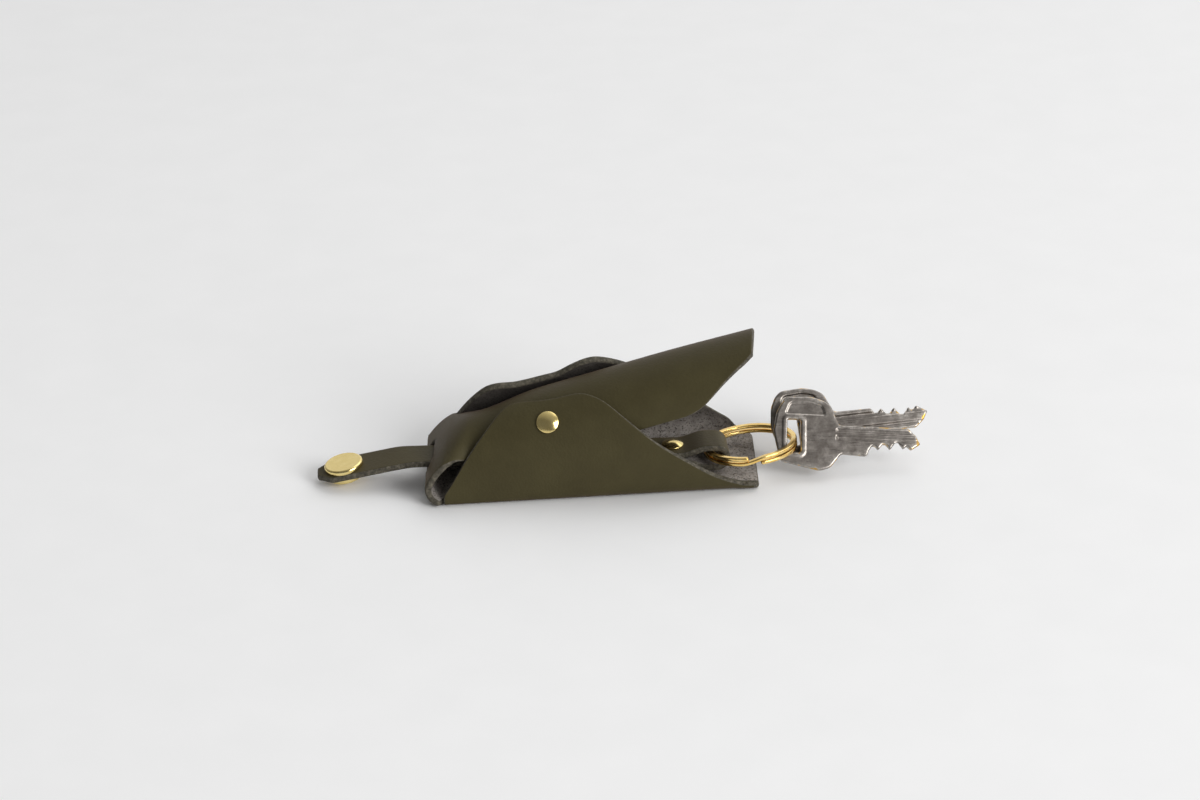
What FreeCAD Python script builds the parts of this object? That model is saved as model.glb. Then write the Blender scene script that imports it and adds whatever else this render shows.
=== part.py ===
"""Pull-through leather key case with strap, press stud, split ring and two keys.

Lengths are millimetres. The frame's origin is the middle of the base's underside, +X points out of
the mouth, +Z is up. Along the case, places are counted from the folded end and called stations.
"""
import FreeCAD
import Part
import Sketcher
import math
import os

Vector = FreeCAD.Vector
Rotation = FreeCAD.Rotation
Placement = FreeCAD.Placement

AXIS_X = Vector(1, 0, 0)
AXIS_Y = Vector(0, 1, 0)
AXIS_Z = Vector(0, 0, 1)

# Driving dimensions, one spreadsheet row each
SIZES = (
    # leather blank
    ("case_length", 102.0),
    ("leather", 2.0),
    ("lay_gap", 0.3),
    ("base_half_rear", 19.5),
    ("base_half_mouth", 18.3),
    ("base_corner", 4.0),
    ("ridge_rear", 19.9),
    ("ridge_mouth", 46.2),
    ("arch_rear", 13.5),
    ("arch_mouth", 18.1),
    ("fold_length", 7.0),
    ("fold_reach", 2.6),
    ("fold_start", 3.0),
    ("flap_length", 101.0),
    ("flap_half_rear", 16.5),
    ("flap_half_full", 23.8),
    ("flap_half_tip", 9.0),
    ("flap_taper_end", 60.0),
    ("flap_bevel_start", 79.0),
    ("flap_hinge_station", 66.0),
    ("flex_gap", 0.6),
    ("wing_height", 36.6),
    ("wing_start", 4.6),
    ("wing_end", 95.0),
    # strap and its slot
    ("strap_width", 12.6),
    ("strap_thick", 2.0),
    ("strap_level", 8.2),
    ("strap_outside", 8.0),
    ("slot_width", 15.4),
    ("slot_height", 6.9),
    ("slot_drop", 0.85),
    ("tab_length", 28.0),
    ("tab_clip", 4.0),
    ("eye_station", 88.0),
    ("eye_straight", 2.6),
    ("eye_clearance", 0.95),
    ("eye_run", 7.0),
    ("loop_slit", 0.3),
    ("loop_return", 16.5),
    # rivets
    ("rivet_station", 36.0),
    ("rivet_cap", 7.0),
    ("rivet_skirt", 0.5),
    ("rivet_dome", 1.0),
    ("rivet_flange", 0.8),
    ("rivet_shank", 3.0),
    ("rivet_clearance", 0.15),
    ("rivet_sink", 0.9),
    ("loop_rivet_back", 11.0),
    # press stud
    ("snap_cap", 12.5),
    ("snap_cap_thick", 1.7),
    ("snap_cap_round", 0.7),
    ("snap_shank", 4.0),
    ("snap_socket", 10.6),
    ("snap_socket_thick", 1.6),
    ("snap_socket_bore", 5.6),
    ("snap_socket_round", 0.5),
    ("snap_place", 19.4),
    ("stud_station", 56.0),
    ("stud_flange", 9.0),
    ("stud_flange_thick", 0.7),
    ("stud_ball", 5.2),
    ("stud_ball_height", 1.9),
    # split ring
    ("ring_outer", 30.0),
    ("ring_wire_wide", 1.9),
    ("ring_wire_tall", 1.15),
    ("ring_turn_gap", 0.5),
    # keys
    ("key_head", 24.0),
    ("front_key_length", 41.0),
    ("rear_key_length", 45.0),
    ("key_blade", 8.0),
    ("key_thick", 2.0),
    ("key_hole_long", 10.8),
    ("key_hole_wide", 4.4),
    ("key_lift", 2.35),
    ("key_panel_depth", 0.35),
    ("key_groove_depth", 0.5),
    ("key_groove_wide", 1.6),
    # cuts run past the solid by this much
    ("overrun", 5.0),
)

# Angles in degrees
WING_TANGENT = 65.0
RIVET_ANGLE = 50.0
STRAP_YAW = 2.3
STRAP_ROLL = 3.0
TAB_SLOPE = 11.0
RING_PITCH = 6.0
RING_ROLL = 7.0
RING_CROSSING = 10.0
KEY_LEAN = 40.0
FRONT_KEY_DROP = 5.0
FRONT_KEY_ROUND = -15.0
REAR_KEY_DROP = -2.0
REAR_KEY_YAW = 6.0
REAR_KEY_ROUND = 9.0

# Wing outlines: (station, girth) as shares of the case's length and the wing's height
FRONT_WING_SHARES = (
    (0.021, 0.075), (0.044, 0.161), (0.064, 0.254), (0.103, 0.448), (0.140, 0.571), (0.179, 0.757),
    (0.209, 0.883), (0.236, 0.932), (0.270, 0.945), (0.321, 0.936), (0.375, 0.956), (0.413, 0.981),
    (0.449, 1.000), (0.479, 0.989), (0.525, 0.921), (0.590, 0.762), (0.683, 0.541), (0.782, 0.350),
    (0.863, 0.197), (0.946, 0.070),
)
BACK_WING_SHARES = (
    (0.021, 0.075), (0.044, 0.190), (0.064, 0.300), (0.103, 0.508), (0.140, 0.690), (0.179, 0.846),
    (0.209, 0.890), (0.236, 0.900), (0.270, 0.902), (0.321, 0.904), (0.375, 0.921), (0.413, 0.942),
    (0.449, 0.997), (0.486, 1.048), (0.525, 1.052), (0.590, 0.940), (0.683, 0.730), (0.782, 0.490),
    (0.863, 0.290), (0.946, 0.090),
)
# How much flatter than the arch the back wing's upper part lies, along the case
BACK_FLARE_SHARES = (
    (0.000, 1.60), (0.190, 1.50), (0.265, 0.65), (0.300, 0.55), (0.353, 0.55), (0.406, 0.55),
    (0.450, 1.20), (0.510, 1.60), (0.608, 1.40), (1.000, 1.00),
)
FRONT_FLARE_SHARES = ((0.0, 0.0), (1.0, 0.0))
# Bevelled mouth corner of the flap: (share of the bevel's length, share of the width lost)
FLAP_BEVEL_SHARES = (
    (0.000, 0.000), (0.118, 0.034), (0.200, 0.074), (0.273, 0.135), (0.359, 0.236), (0.455, 0.358),
    (0.555, 0.486), (0.668, 0.615), (0.768, 0.723), (0.859, 0.811), (0.936, 0.905), (1.000, 1.000),
)
# Key head outline round the hole, as shares of the head's width
KEY_HEAD_SHARES = (
    (0.604, 0.167), (0.496, 0.429), (0.392, 0.496), (0.225, 0.542), (-0.071, 0.529), (-0.158, 0.463),
    (-0.233, 0.321), (-0.275, 0.058), (-0.183, -0.342), (0.346, -0.454), (0.488, -0.413),
    (0.638, -0.217), (0.985, -0.235),
)
# Cut edge of the blade: (share of the key's length, share of the blade's width)
KEY_BLADE_SHARES = (
    (0.590, -0.480), (0.615, -0.280), (0.640, -0.280), (0.665, -0.430), (0.700, -0.200),
    (0.725, -0.200), (0.760, -0.400), (0.800, -0.100), (0.825, -0.100), (0.865, -0.350),
    (0.890, -0.230), (0.925, -0.380), (1.000, -0.120), (0.960, 0.240), (0.900, 0.500),
)
KEY_PANEL_SHARES = ((-0.130, 0.290), (-0.060, 0.460), (0.220, 0.475), (0.380, 0.430), (0.430, 0.290))
# The blade groove's distance from the blade's middle, as a share of the blade's width
KEY_GROOVE_SHARE = 0.12
# Folded end: the share of its height where it bows out most, and the bow's roundness below and above
FOLD_WIDEST_SHARE = 0.40
FOLD_LOW_SHARE = 0.75
FOLD_HIGH_SHARE = 1.20
# Power of its way up with which the folded end takes on the flap's arch
FOLD_ARCH_POWER = 5
# Distance over which a slope along the case is taken, as a share of its length
SLOPE_SHARE = 0.01
# Numbers of sections along the panels, and of points across a section
FOLD_STEPS = 16
FLAP_STEPS = 14
TIP_STEPS = 16
WING_STEPS = 24
ACROSS_POINTS = 9
WING_POINTS = 9
# The ring's turns: largest angle of one arc, points taken along the wire, and the share of them
# that lies between two turns
TURN_DEGREES = 90.0
TURN_SAMPLES = 240
TURN_APART_SHARE = 0.125

doc = FreeCAD.newDocument("key_case")
sheet = doc.addObject("Spreadsheet::Sheet", "Sizes")
for row, (alias, value) in enumerate(SIZES, start=1):
    sheet.set("A%d" % row, alias)
    sheet.set("B%d" % row, str(value))
    sheet.setAlias("B%d" % row, alias)
doc.recompute()


def size(alias):
    """One driving dimension, read from the spreadsheet."""
    return float(sheet.get(alias))


def bind(feature, prop, expression):
    """Tie a property to spreadsheet cells, written in an expression as {alias}."""
    names = dict((name, "Sizes." + name) for name, value in SIZES)
    feature.setExpression(prop, expression.format(**names))


def blend(table, share):
    """Smooth curve through a table of (place, value) shares, by cubic Hermite pieces."""
    places = [row[0] for row in table]
    values = [row[1] for row in table]
    share = min(max(share, places[0]), places[-1])
    last = len(table) - 1
    piece = max(i for i in range(last) if places[i] <= share or i == 0)

    def slope(i):
        low = max(i - 1, 0)
        high = min(i + 1, last)
        return (values[high] - values[low]) / (places[high] - places[low])

    span = places[piece + 1] - places[piece]
    t = (share - places[piece]) / span
    start = (1 + 2 * t) * (1 - t) ** 2 * values[piece]
    end = t * t * (3 - 2 * t) * values[piece + 1]
    rise = t * (1 - t) ** 2 * span * slope(piece)
    fall = t * t * (t - 1) * span * slope(piece + 1)
    return start + end + rise + fall


def along(rear, mouth, station):
    """A dimension that changes evenly from the folded end to the mouth."""
    return size(rear) + (size(mouth) - size(rear)) * station / size("case_length")


def to_x(station):
    """X of a station, counted from the folded end of the base."""
    return station - size("case_length") / 2


def ridge(station):
    return along("ridge_rear", "ridge_mouth", station)


def arch(station):
    return along("arch_rear", "arch_mouth", station)


def base_half(station):
    return along("base_half_rear", "base_half_mouth", station)


def arch_point(station, angle, grow):
    """Point on the flap's arch at an angle from its crown, grown outwards by a distance."""
    radius = arch(station) + grow
    level = ridge(station) - arch(station) + radius * math.cos(angle)
    return Vector(to_x(station), -radius * math.sin(angle), level)


def even_stations(start, end, steps):
    """Evenly spaced stations from one place along the case to another."""
    return [start + (end - start) * i / steps for i in range(steps + 1)]


def strip_section(outer, inner):
    """Closed wire of a strip's cross section, from its outer and inner points."""
    edges = []
    for points in (outer, inner):
        curve = Part.BSplineCurve()
        curve.interpolate(points)
        edges.append(curve.toShape())
    rim = Part.LineSegment(outer[-1], inner[-1]).toShape()
    foot = Part.LineSegment(inner[0], outer[0]).toShape()
    return Part.Wire(Part.__sortEdges__([edges[0], rim, edges[1], foot]))


def loft(wires):
    """Smooth solid through a row of strip sections."""
    return Part.makeLoft(wires, True, False)


def add_shape(label, shape):
    """A leather panel or wound wire as a feature of the document."""
    feature = doc.addObject("Part::Feature", label)
    feature.Shape = shape
    feature.Label = label
    return feature


# Folded leather case

def base_panel():
    """Floor of the case: a tapered plate with clipped mouth corners."""
    body = doc.addObject("PartDesign::Body", "base_panel")
    body.Label = "base_panel"
    start = size("fold_start")
    end = size("case_length")
    corner = size("base_corner")
    outline = [
        (to_x(start), base_half(start)), (to_x(end - corner), base_half(end)),
        (to_x(end), base_half(end) - corner), (to_x(end), corner - base_half(end)),
        (to_x(end - corner), -base_half(end)), (to_x(start), -base_half(start)),
    ]
    pad_outline(body, "XY_Plane", outline, "{leather}", False)
    return body


def fold_profile(share):
    """Outer line of the folded end: (point, inward direction) at a share of its way up.

    It leaves the base flat, bows out by fold_reach and turns over into the flap, tightly below its
    widest place and gently above. The inward direction turns evenly from straight up, at the base,
    to straight down, at the flap.
    """
    top = ridge(size("fold_length"))
    turn = math.pi * share
    low = math.cos(turn) > 0
    roundness = FOLD_LOW_SHARE if low else FOLD_HIGH_SHARE
    rise = 1 - abs(math.cos(turn)) ** roundness
    bow = math.sin(turn) ** roundness
    if low:
        level = top * FOLD_WIDEST_SHARE * rise
    else:
        level = top * (1 - (1 - FOLD_WIDEST_SHARE) * rise)
    flat = size("fold_start") + (size("fold_length") - size("fold_start")) * share
    depth = size("fold_reach") + size("fold_start") * (1 - share) + size("fold_length") * share
    point = Vector(to_x(flat - depth * bow), 0, level)
    inward = Vector(math.sin(turn), 0, math.cos(turn))
    return point, inward


def fold_section(share):
    """Section across the folded end: flat at the base, its sides drooping to the flap's arch above."""
    point, inward = fold_profile(share)
    length = size("fold_length")
    half = base_half(size("fold_start")) * (1 - share) + size("flap_half_rear") * share
    bend = share ** FOLD_ARCH_POWER * size("flap_half_rear") / arch(length)
    outer = []
    inner = []
    for i in range(ACROSS_POINTS):
        v = 2 * i / (ACROSS_POINTS - 1) - 1
        across = half * v
        droop = 0
        if bend > 0:
            across = half / bend * math.sin(bend * v)
            droop = half / bend * (1 - math.cos(bend * v))
        deep = inward * math.cos(bend * v) - AXIS_Y * math.sin(bend * v)
        outer.append(point + AXIS_Y * across - AXIS_Z * droop)
        inner.append(outer[-1] + deep * size("leather"))
    return strip_section(outer, inner)


def strap_slot():
    """Rounded bar that cuts the strap's slot through the folded end."""
    width = size("slot_width")
    height = size("slot_height")
    level = size("strap_level") - size("slot_drop")
    front = to_x(-size("fold_reach") - size("overrun"))
    deep = size("fold_reach") + size("fold_length") + size("overrun")
    corner = Vector(front, (height - width) / 2, level - height / 2)
    bar = Part.makeBox(deep, width - height, height, corner)
    for side in (-1, 1):
        centre = Vector(front, side * (width - height) / 2, level)
        bar = bar.fuse(Part.makeCylinder(height / 2, deep, centre, AXIS_X))
    return bar


def end_wall():
    """Folded end of the case with its strap slot."""
    wires = [fold_section(i / FOLD_STEPS) for i in range(FOLD_STEPS + 1)]
    return add_shape("end_wall", loft(wires).cut(strap_slot()))


def flap_half(station):
    """Half width of the flap, measured round its arch."""
    start = size("fold_length")
    bevel = size("flap_bevel_start")
    if station <= size("flap_taper_end"):
        share = (station - start) / (size("flap_taper_end") - start)
        return size("flap_half_rear") + (size("flap_half_full") - size("flap_half_rear")) * share
    if station <= bevel:
        return size("flap_half_full")
    share = (station - bevel) / (size("flap_length") - bevel)
    lost = blend(FLAP_BEVEL_SHARES, share)
    return size("flap_half_full") - (size("flap_half_full") - size("flap_half_tip")) * lost


def flap_section(station):
    """Section across the flap: two concentric arcs over the half width."""
    reach = flap_half(station) / arch(station)
    angles = [reach * (1 - 2 * i / (ACROSS_POINTS - 1)) for i in range(ACROSS_POINTS)]
    outer = [arch_point(station, angle, 0) for angle in angles]
    inner = [arch_point(station, angle, -size("leather")) for angle in angles]
    return strip_section(outer, inner)


def rivet_hole(side):
    """Cylinder along a wing rivet, through the wing and the flap."""
    point, normal = rivet_seat(side)
    radius = size("rivet_shank") / 2 + size("rivet_clearance")
    deep = 2 * (2 * size("leather") + size("lay_gap") + size("overrun"))
    return Part.makeCylinder(radius, deep, point - normal * (deep / 2), normal)


def top_flap():
    """Fixed part of the flap, from the folded end to its flex line."""
    stations = even_stations(size("fold_length"), size("flap_hinge_station"), FLAP_STEPS)
    shape = loft([flap_section(station) for station in stations])
    for side in (-1, 1):
        shape = shape.cut(rivet_hole(side))
    return add_shape("top_flap", shape)


def top_flap_tip():
    """Free end of the flap with its bevelled mouth corners."""
    start = size("flap_hinge_station") + size("flex_gap")
    stations = even_stations(start, size("flap_length"), TIP_STEPS)
    return add_shape("top_flap_tip", loft([flap_section(station) for station in stations]))


def wing_curve(station, flare):
    """Outer line of a wing's section, as a function of girth and another of the angle to the crown.

    The upper part is the flap's arch grown by the layers between, down to WING_TANGENT from the
    crown. A second arc, tangent to it there, runs down to the base's edge. Flare flattens the upper
    part, so that its edge stands off the flap.
    """
    radius = arch(station) + size("lay_gap") + size("leather")
    tangent = math.radians(WING_TANGENT)
    normal = Vector(math.sin(tangent), math.cos(tangent), 0)
    join = Vector(0, ridge(station) - arch(station), 0) + normal * radius
    chord = join - Vector(base_half(station), 0, 0)
    low_radius = chord.dot(chord) / (2 * chord.dot(normal))
    low_centre = join - normal * low_radius
    start = math.atan2(-low_centre.y, base_half(station) - low_centre.x)
    turn = math.pi / 2 - tangent
    low_length = low_radius * (turn - start)
    high_radius = radius * (1 + flare)
    high_centre = join - normal * high_radius

    def upper(angle, depth):
        return high_centre + Vector(math.cos(angle), math.sin(angle), 0) * (high_radius - depth)

    def point(girth, depth):
        if girth < low_length:
            angle = start + girth / low_radius
            return low_centre + Vector(math.cos(angle), math.sin(angle), 0) * (low_radius - depth)
        return upper(turn + (girth - low_length) / high_radius, depth)

    return point, upper


def wing_section(station, outline, flares, side):
    """Section across a wing, from the base's upper face to the wing's edge."""
    share = station / size("case_length")
    girth = blend(outline, share) * size("wing_height")
    point, upper = wing_curve(station, blend(flares, share))
    foot = size("leather")
    rows = []
    for depth in (0, size("leather")):
        row = []
        for i in range(WING_POINTS):
            place = point(foot + (girth - foot) * i / (WING_POINTS - 1), depth)
            level = foot if i == 0 else max(place.y, foot)
            row.append(Vector(to_x(station), side * place.x, level))
        rows.append(row)
    return strip_section(*rows)


def wing(label, outline, flares, side):
    """A side wing, standing on the base's edge and folded over the flap."""
    stations = even_stations(size("wing_start"), size("wing_end"), WING_STEPS)
    shape = loft([wing_section(s, outline, flares, side) for s in stations])
    return add_shape(label, shape.cut(rivet_hole(side)))


# Sketched bodies

def plane_of(body, role):
    """One of a body's own origin planes."""
    return [item for item in body.Origin.OriginFeatures if item.Role == role][0]


def sketch_on(body, role, name):
    sketch = body.newObject("Sketcher::SketchObject", name)
    sketch.AttachmentSupport = (plane_of(body, role), [""])
    sketch.MapMode = "FlatFace"
    return sketch


def draw(sketch, pieces):
    """Closed outline from points, with an arc's middle point wrapped in a list."""
    count = len(pieces)
    i = 0
    while i < count:
        start = Vector(*pieces[i], 0)
        step = pieces[(i + 1) % count]
        if isinstance(step, list):
            middle = Vector(*step[0], 0)
            end = Vector(*pieces[(i + 2) % count], 0)
            sketch.addGeometry(Part.Arc(start, middle, end), False)
            i += 2
        else:
            sketch.addGeometry(Part.LineSegment(start, Vector(*step, 0)), False)
            i += 1


def pad_outline(body, role, outline, thickness, symmetric):
    """Pad a closed outline on one of the body's planes to a thickness from the sheet."""
    sketch = sketch_on(body, role, body.Name + "_outline")
    draw(sketch, outline)
    pad = body.newObject("PartDesign::Pad", body.Name + "_pad")
    pad.Profile = sketch
    bind(pad, "Length", thickness)
    pad.Midplane = symmetric
    doc.recompute()
    return pad


def pocket_outline(body, name, outline, depth, symmetric, lift):
    """Cut an outline, drawn at a height over the body's XY plane, downwards to a depth."""
    sketch = sketch_on(body, "XY_Plane", body.Name + "_" + name + "_outline")
    sketch.AttachmentOffset = Placement(Vector(0, 0, lift), Rotation())
    draw(sketch, outline)
    before = body.Shape.Volume
    pocket = body.newObject("PartDesign::Pocket", body.Name + "_" + name)
    pocket.Profile = sketch
    bind(pocket, "Length", depth)
    pocket.Midplane = symmetric
    doc.recompute()
    if not pocket.Shape.Volume < before:
        raise RuntimeError(name + " cut nothing")
    return pocket


def round_outline(x, y, diameter):
    """A circle as two arcs."""
    radius = diameter / 2
    return [(x - radius, y), [(x, y + radius)], (x + radius, y), [(x, y - radius)]]


# Strap

def strap_frame():
    """Frame of the strap: origin in the slot, X along it to the ring, Z through it."""
    turn = Rotation(AXIS_Z, -STRAP_YAW).multiply(Rotation(AXIS_X, -STRAP_ROLL))
    return Placement(Vector(to_x(0), 0, size("strap_level")), turn)


def eye_level():
    """Height of the loop's eye, in the strap's frame."""
    return -(size("strap_thick") + size("loop_slit")) / 2


def eye_half():
    """Half height of the eye: the ring's two turns and a clearance."""
    return ring_half_height() + size("eye_clearance")


def strap():
    """Inner run of the strap with its end folded round the ring."""
    body = doc.addObject("PartDesign::Body", "strap")
    body.Label = "strap"
    thick = size("strap_thick")
    half = thick / 2
    slit = size("loop_slit") / 2
    level = eye_level()
    eye = size("eye_station")
    far = eye + size("eye_straight")
    merge = eye - size("eye_run")
    back = eye - size("loop_return")
    outer = eye_half() + thick
    inner = eye_half()
    outline = [
        (-size("strap_outside"), half), (merge, half), (eye, level + outer), (far, level + outer),
        [(far + outer, level)], (far, level - outer), (eye, level - outer),
        (merge, level - slit - thick), (back, level - slit - thick), (back, level - slit),
        (merge, level - slit), (eye, level - inner), (far, level - inner), [(far + inner, level)],
        (far, level + inner), (eye, level + inner), (merge, -half), (-size("strap_outside"), -half),
    ]
    pad_outline(body, "XZ_Plane", outline, "{strap_width}", True)
    through = "2 * {strap_width}"
    wide = size("rivet_shank") + 2 * size("rivet_clearance")
    rivet = round_outline(eye - size("loop_rivet_back"), 0, wide)
    pocket_outline(body, "rivet_hole", rivet, through, True, 0)
    stud = round_outline(size("stud_station"), 0, wide)
    pocket_outline(body, "stud_hole", stud, through, True, 0)
    body.Placement = strap_frame()
    return body


def tab_frame():
    """Frame of the tab: origin on its upper edge at the flex line, X outwards along it."""
    place = Vector(-size("strap_outside") - size("flex_gap"), 0, size("strap_thick") / 2)
    turn = Rotation(AXIS_Z, 180.0).multiply(Rotation(AXIS_Y, TAB_SLOPE))
    level = Placement(strap_frame().Base, Rotation(AXIS_Z, -STRAP_YAW))
    return level.multiply(Placement(place, turn))


def strap_tab():
    """Outer tab of the strap with clipped end corners."""
    body = doc.addObject("PartDesign::Body", "strap_tab")
    body.Label = "strap_tab"
    length = size("tab_length")
    half = size("strap_width") / 2
    clip = size("tab_clip")
    outline = [
        (0, half), (length - clip, half), (length, half - clip), (length, clip - half),
        (length - clip, -half), (0, -half),
    ]
    pad = pad_outline(body, "XY_Plane", outline, "{strap_thick}", False)
    pad.Reversed = True
    wide = size("snap_shank") + 2 * size("rivet_clearance")
    hole = round_outline(size("snap_place"), 0, wide)
    doc.recompute()
    pocket_outline(body, "snap_hole", hole, "2 * {strap_width}", True, 0)
    body.Placement = tab_frame()
    return body


# Rivets and press stud, each built along +Z from the face that it sits on

def cylinder(name, radius, height, level):
    part = doc.addObject("Part::Cylinder", name)
    bind(part, "Radius", radius)
    bind(part, "Height", height)
    bind(part, "Placement.Base.z", level)
    return part


def join(label, first, second):
    part = doc.addObject("Part::Fuse", label)
    part.Base = first
    part.Tool = second
    part.Label = label
    return part


def seat(part, point, axis):
    """Put a turned piece on its seat, with its own Z along the axis."""
    doc.recompute()
    part.Placement = Placement(point, Rotation(AXIS_Z, axis))
    return part


def domed_cap(label, point, axis):
    """Rivet cap: a short skirt under a shallow spherical dome."""
    skirt = cylinder(label + "_skirt", "{rivet_cap} / 2", "{rivet_skirt}", "0")
    dome = doc.addObject("Part::Sphere", label + "_dome")
    ball = "(({rivet_cap} / 2) ^ 2 + {rivet_dome} ^ 2) / (2 * {rivet_dome})"
    bind(dome, "Radius", ball)
    bind(dome, "Angle1", "asin((" + ball + " - {rivet_dome}) / (" + ball + "))")
    bind(dome, "Placement.Base.z", "{rivet_skirt} + {rivet_dome} - " + ball)
    return seat(join(label, skirt, dome), point, axis)


def rivet_post(label, point, axis, length):
    """Rivet post: a flange that seats on the leather and a shank up to the cap."""
    flange = cylinder(label + "_flange", "{rivet_cap} / 2", "{rivet_flange}", "-{rivet_flange}")
    shank = cylinder(label + "_shank", "{rivet_shank} / 2", "{leather}", "0")
    shank.Height = length
    return seat(join(label, flange, shank), point, axis)


def wing_spot(station, side):
    """Place in the rivets' row on a wing: (point, slope angle). Side -1 is the front."""
    flares = FRONT_FLARE_SHARES if side < 0 else BACK_FLARE_SHARES
    flare = blend(flares, station / size("case_length"))
    point, upper = wing_curve(station, flare)
    slope = math.radians(WING_TANGENT - (WING_TANGENT - RIVET_ANGLE) / (1 + flare))
    place = upper(math.pi / 2 - slope, 0)
    return Vector(to_x(station), side * place.x, place.y), slope


def rivet_seat(side):
    """Seat of a wing rivet's cap: (point on the wing, outward normal)."""
    station = size("rivet_station")
    reach = SLOPE_SHARE * size("case_length")
    point, slope = wing_spot(station, side)
    along_it = wing_spot(station + reach, side)[0] - wing_spot(station - reach, side)[0]
    across = Vector(0, math.cos(slope), -side * math.sin(slope))
    return point, along_it.cross(across).normalize()


def wing_rivet(label, side):
    """Double-cap rivet through a wing and the flap."""
    point, normal = rivet_seat(side)
    domed_cap(label + "_cap", point, normal)
    angle = math.radians(-side * RIVET_ANGLE)
    inside = arch_point(size("rivet_station"), angle, -size("leather"))
    depth = (point - inside).dot(normal) + size("rivet_sink")
    rivet_post(label + "_post", point - normal * depth, normal, depth)


def loop_rivet():
    """Double-cap rivet through the strap's two layers beside the loop."""
    frame = strap_frame()
    axis = frame.Rotation.multVec(AXIS_Z)
    thick = size("strap_thick")
    place = Vector(size("eye_station") - size("loop_rivet_back"), 0, thick / 2)
    top = frame.multVec(place)
    domed_cap("loop_rivet_cap", top, axis)
    depth = 2 * thick + size("loop_slit")
    rivet_post("loop_rivet_post", top - axis * depth, axis, depth)


def snap_cap():
    """Flat press-stud cap with a rounded rim and its shank down through the tab."""
    label = "snap_cap"
    frame = tab_frame()
    disc = cylinder(label + "_disc", "{snap_cap} / 2", "{snap_cap_thick}", "0")
    doc.recompute()
    rim = doc.addObject("Part::Fillet", label + "_rim")
    rim.Base = disc
    top = [i for i, edge in enumerate(disc.Shape.Edges, start=1) if edge.BoundBox.ZMin > 0]
    rim.Edges = [(i, size("snap_cap_round"), size("snap_cap_round")) for i in top]
    shank = cylinder(label + "_shank", "{snap_shank} / 2", "{strap_thick}", "-{strap_thick}")
    point = frame.multVec(Vector(size("snap_place"), 0, 0))
    return seat(join(label, rim, shank), point, frame.Rotation.multVec(AXIS_Z))


def snap_socket():
    """Press-stud socket under the tab: a ring with a rounded lower rim."""
    label = "snap_socket"
    frame = tab_frame()
    disc = cylinder(label + "_disc", "{snap_socket} / 2", "{snap_socket_thick}", "0")
    doc.recompute()
    rim = doc.addObject("Part::Fillet", label + "_rim")
    rim.Base = disc
    top = [i for i, edge in enumerate(disc.Shape.Edges, start=1) if edge.BoundBox.ZMin > 0]
    rim.Edges = [(i, size("snap_socket_round"), size("snap_socket_round")) for i in top]
    bore = cylinder(label + "_bore", "{snap_socket_bore} / 2", "2 * {snap_socket_thick}", "0")
    cut = doc.addObject("Part::Cut", label)
    cut.Base = rim
    cut.Tool = bore
    cut.Label = label
    point = frame.multVec(Vector(size("snap_place"), 0, -size("strap_thick")))
    return seat(cut, point, frame.Rotation.multVec(AXIS_Z) * -1)


def snap_stud():
    """Press stud's male half under the strap, and its domed post on top."""
    frame = strap_frame()
    axis = frame.Rotation.multVec(AXIS_Z)
    half = size("strap_thick") / 2
    top = frame.multVec(Vector(size("stud_station"), 0, half))
    foot = frame.multVec(Vector(size("stud_station"), 0, -half))
    flange = cylinder("snap_stud_flange", "{stud_flange} / 2", "{stud_flange_thick}", "0")
    ball = cylinder("snap_stud_ball", "{stud_ball} / 2", "{stud_ball_height}", "{stud_flange_thick}")
    seat(join("snap_stud", flange, ball), foot, axis * -1)
    plate = cylinder("snap_stud_plate", "{stud_flange} / 2", "{rivet_flange}", "0")
    shank = cylinder("snap_stud_shank", "{rivet_shank} / 2", "{strap_thick}", "-{strap_thick}")
    seat(join("snap_stud_post", plate, shank), top, axis)


# Split ring

def ring_half_height():
    """Half height of the ring's two turns."""
    return size("ring_wire_tall") + size("ring_turn_gap") / 2


def ring_mid_radius():
    return (size("ring_outer") - size("ring_wire_wide")) / 2


def ring_frame():
    """Frame of the ring: origin at its centre, its left side in the strap's eye."""
    eye = strap_frame().multVec(Vector(size("eye_station"), 0, eye_level()))
    turn = Rotation(AXIS_Z, -STRAP_YAW).multiply(Rotation(AXIS_Y, -RING_PITCH))
    turn = turn.multiply(Rotation(AXIS_X, -RING_ROLL))
    return Placement(eye + turn.multVec(AXIS_X * ring_mid_radius()), turn)


def ring_spot(degrees, level):
    radius = ring_mid_radius()
    angle = math.radians(degrees)
    return Vector(radius * math.cos(angle), radius * math.sin(angle), level)


def ring_tangent(degrees):
    angle = math.radians(degrees)
    return Vector(-math.sin(angle), math.cos(angle), 0)


def turn_arcs(start, end, level):
    """Arcs of one flat turn between two angles."""
    count = math.ceil((end - start) / TURN_DEGREES)
    step = (end - start) / count
    arcs = []
    for i in range(count):
        places = [start + step * (i + part) for part in (0, 0.5, 1)]
        arcs.append(Part.Arc(*[ring_spot(place, level) for place in places]).toShape())
    return arcs


def biarc(start, start_way, end, end_way):
    """Two arcs that leave one point and reach another along given directions."""
    chord = end - start
    ways = start_way + end_way
    spread = 2 * (1 - start_way.dot(end_way))
    reach = chord.dot(ways)
    handle = (math.sqrt(reach ** 2 + spread * chord.dot(chord)) - reach) / spread
    first = start + start_way * handle
    second = end - end_way * handle
    middle = (first + second) * 0.5
    arcs = []
    for low, corner, high in ((start, first, middle), (middle, second, end)):
        weight = (corner - low).normalize().dot((high - low).normalize())
        crown = (low + corner * (2 * weight) + high) * (1 / (2 + 2 * weight))
        arcs.append(Part.Arc(low, crown, high).toShape())
    return arcs


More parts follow.
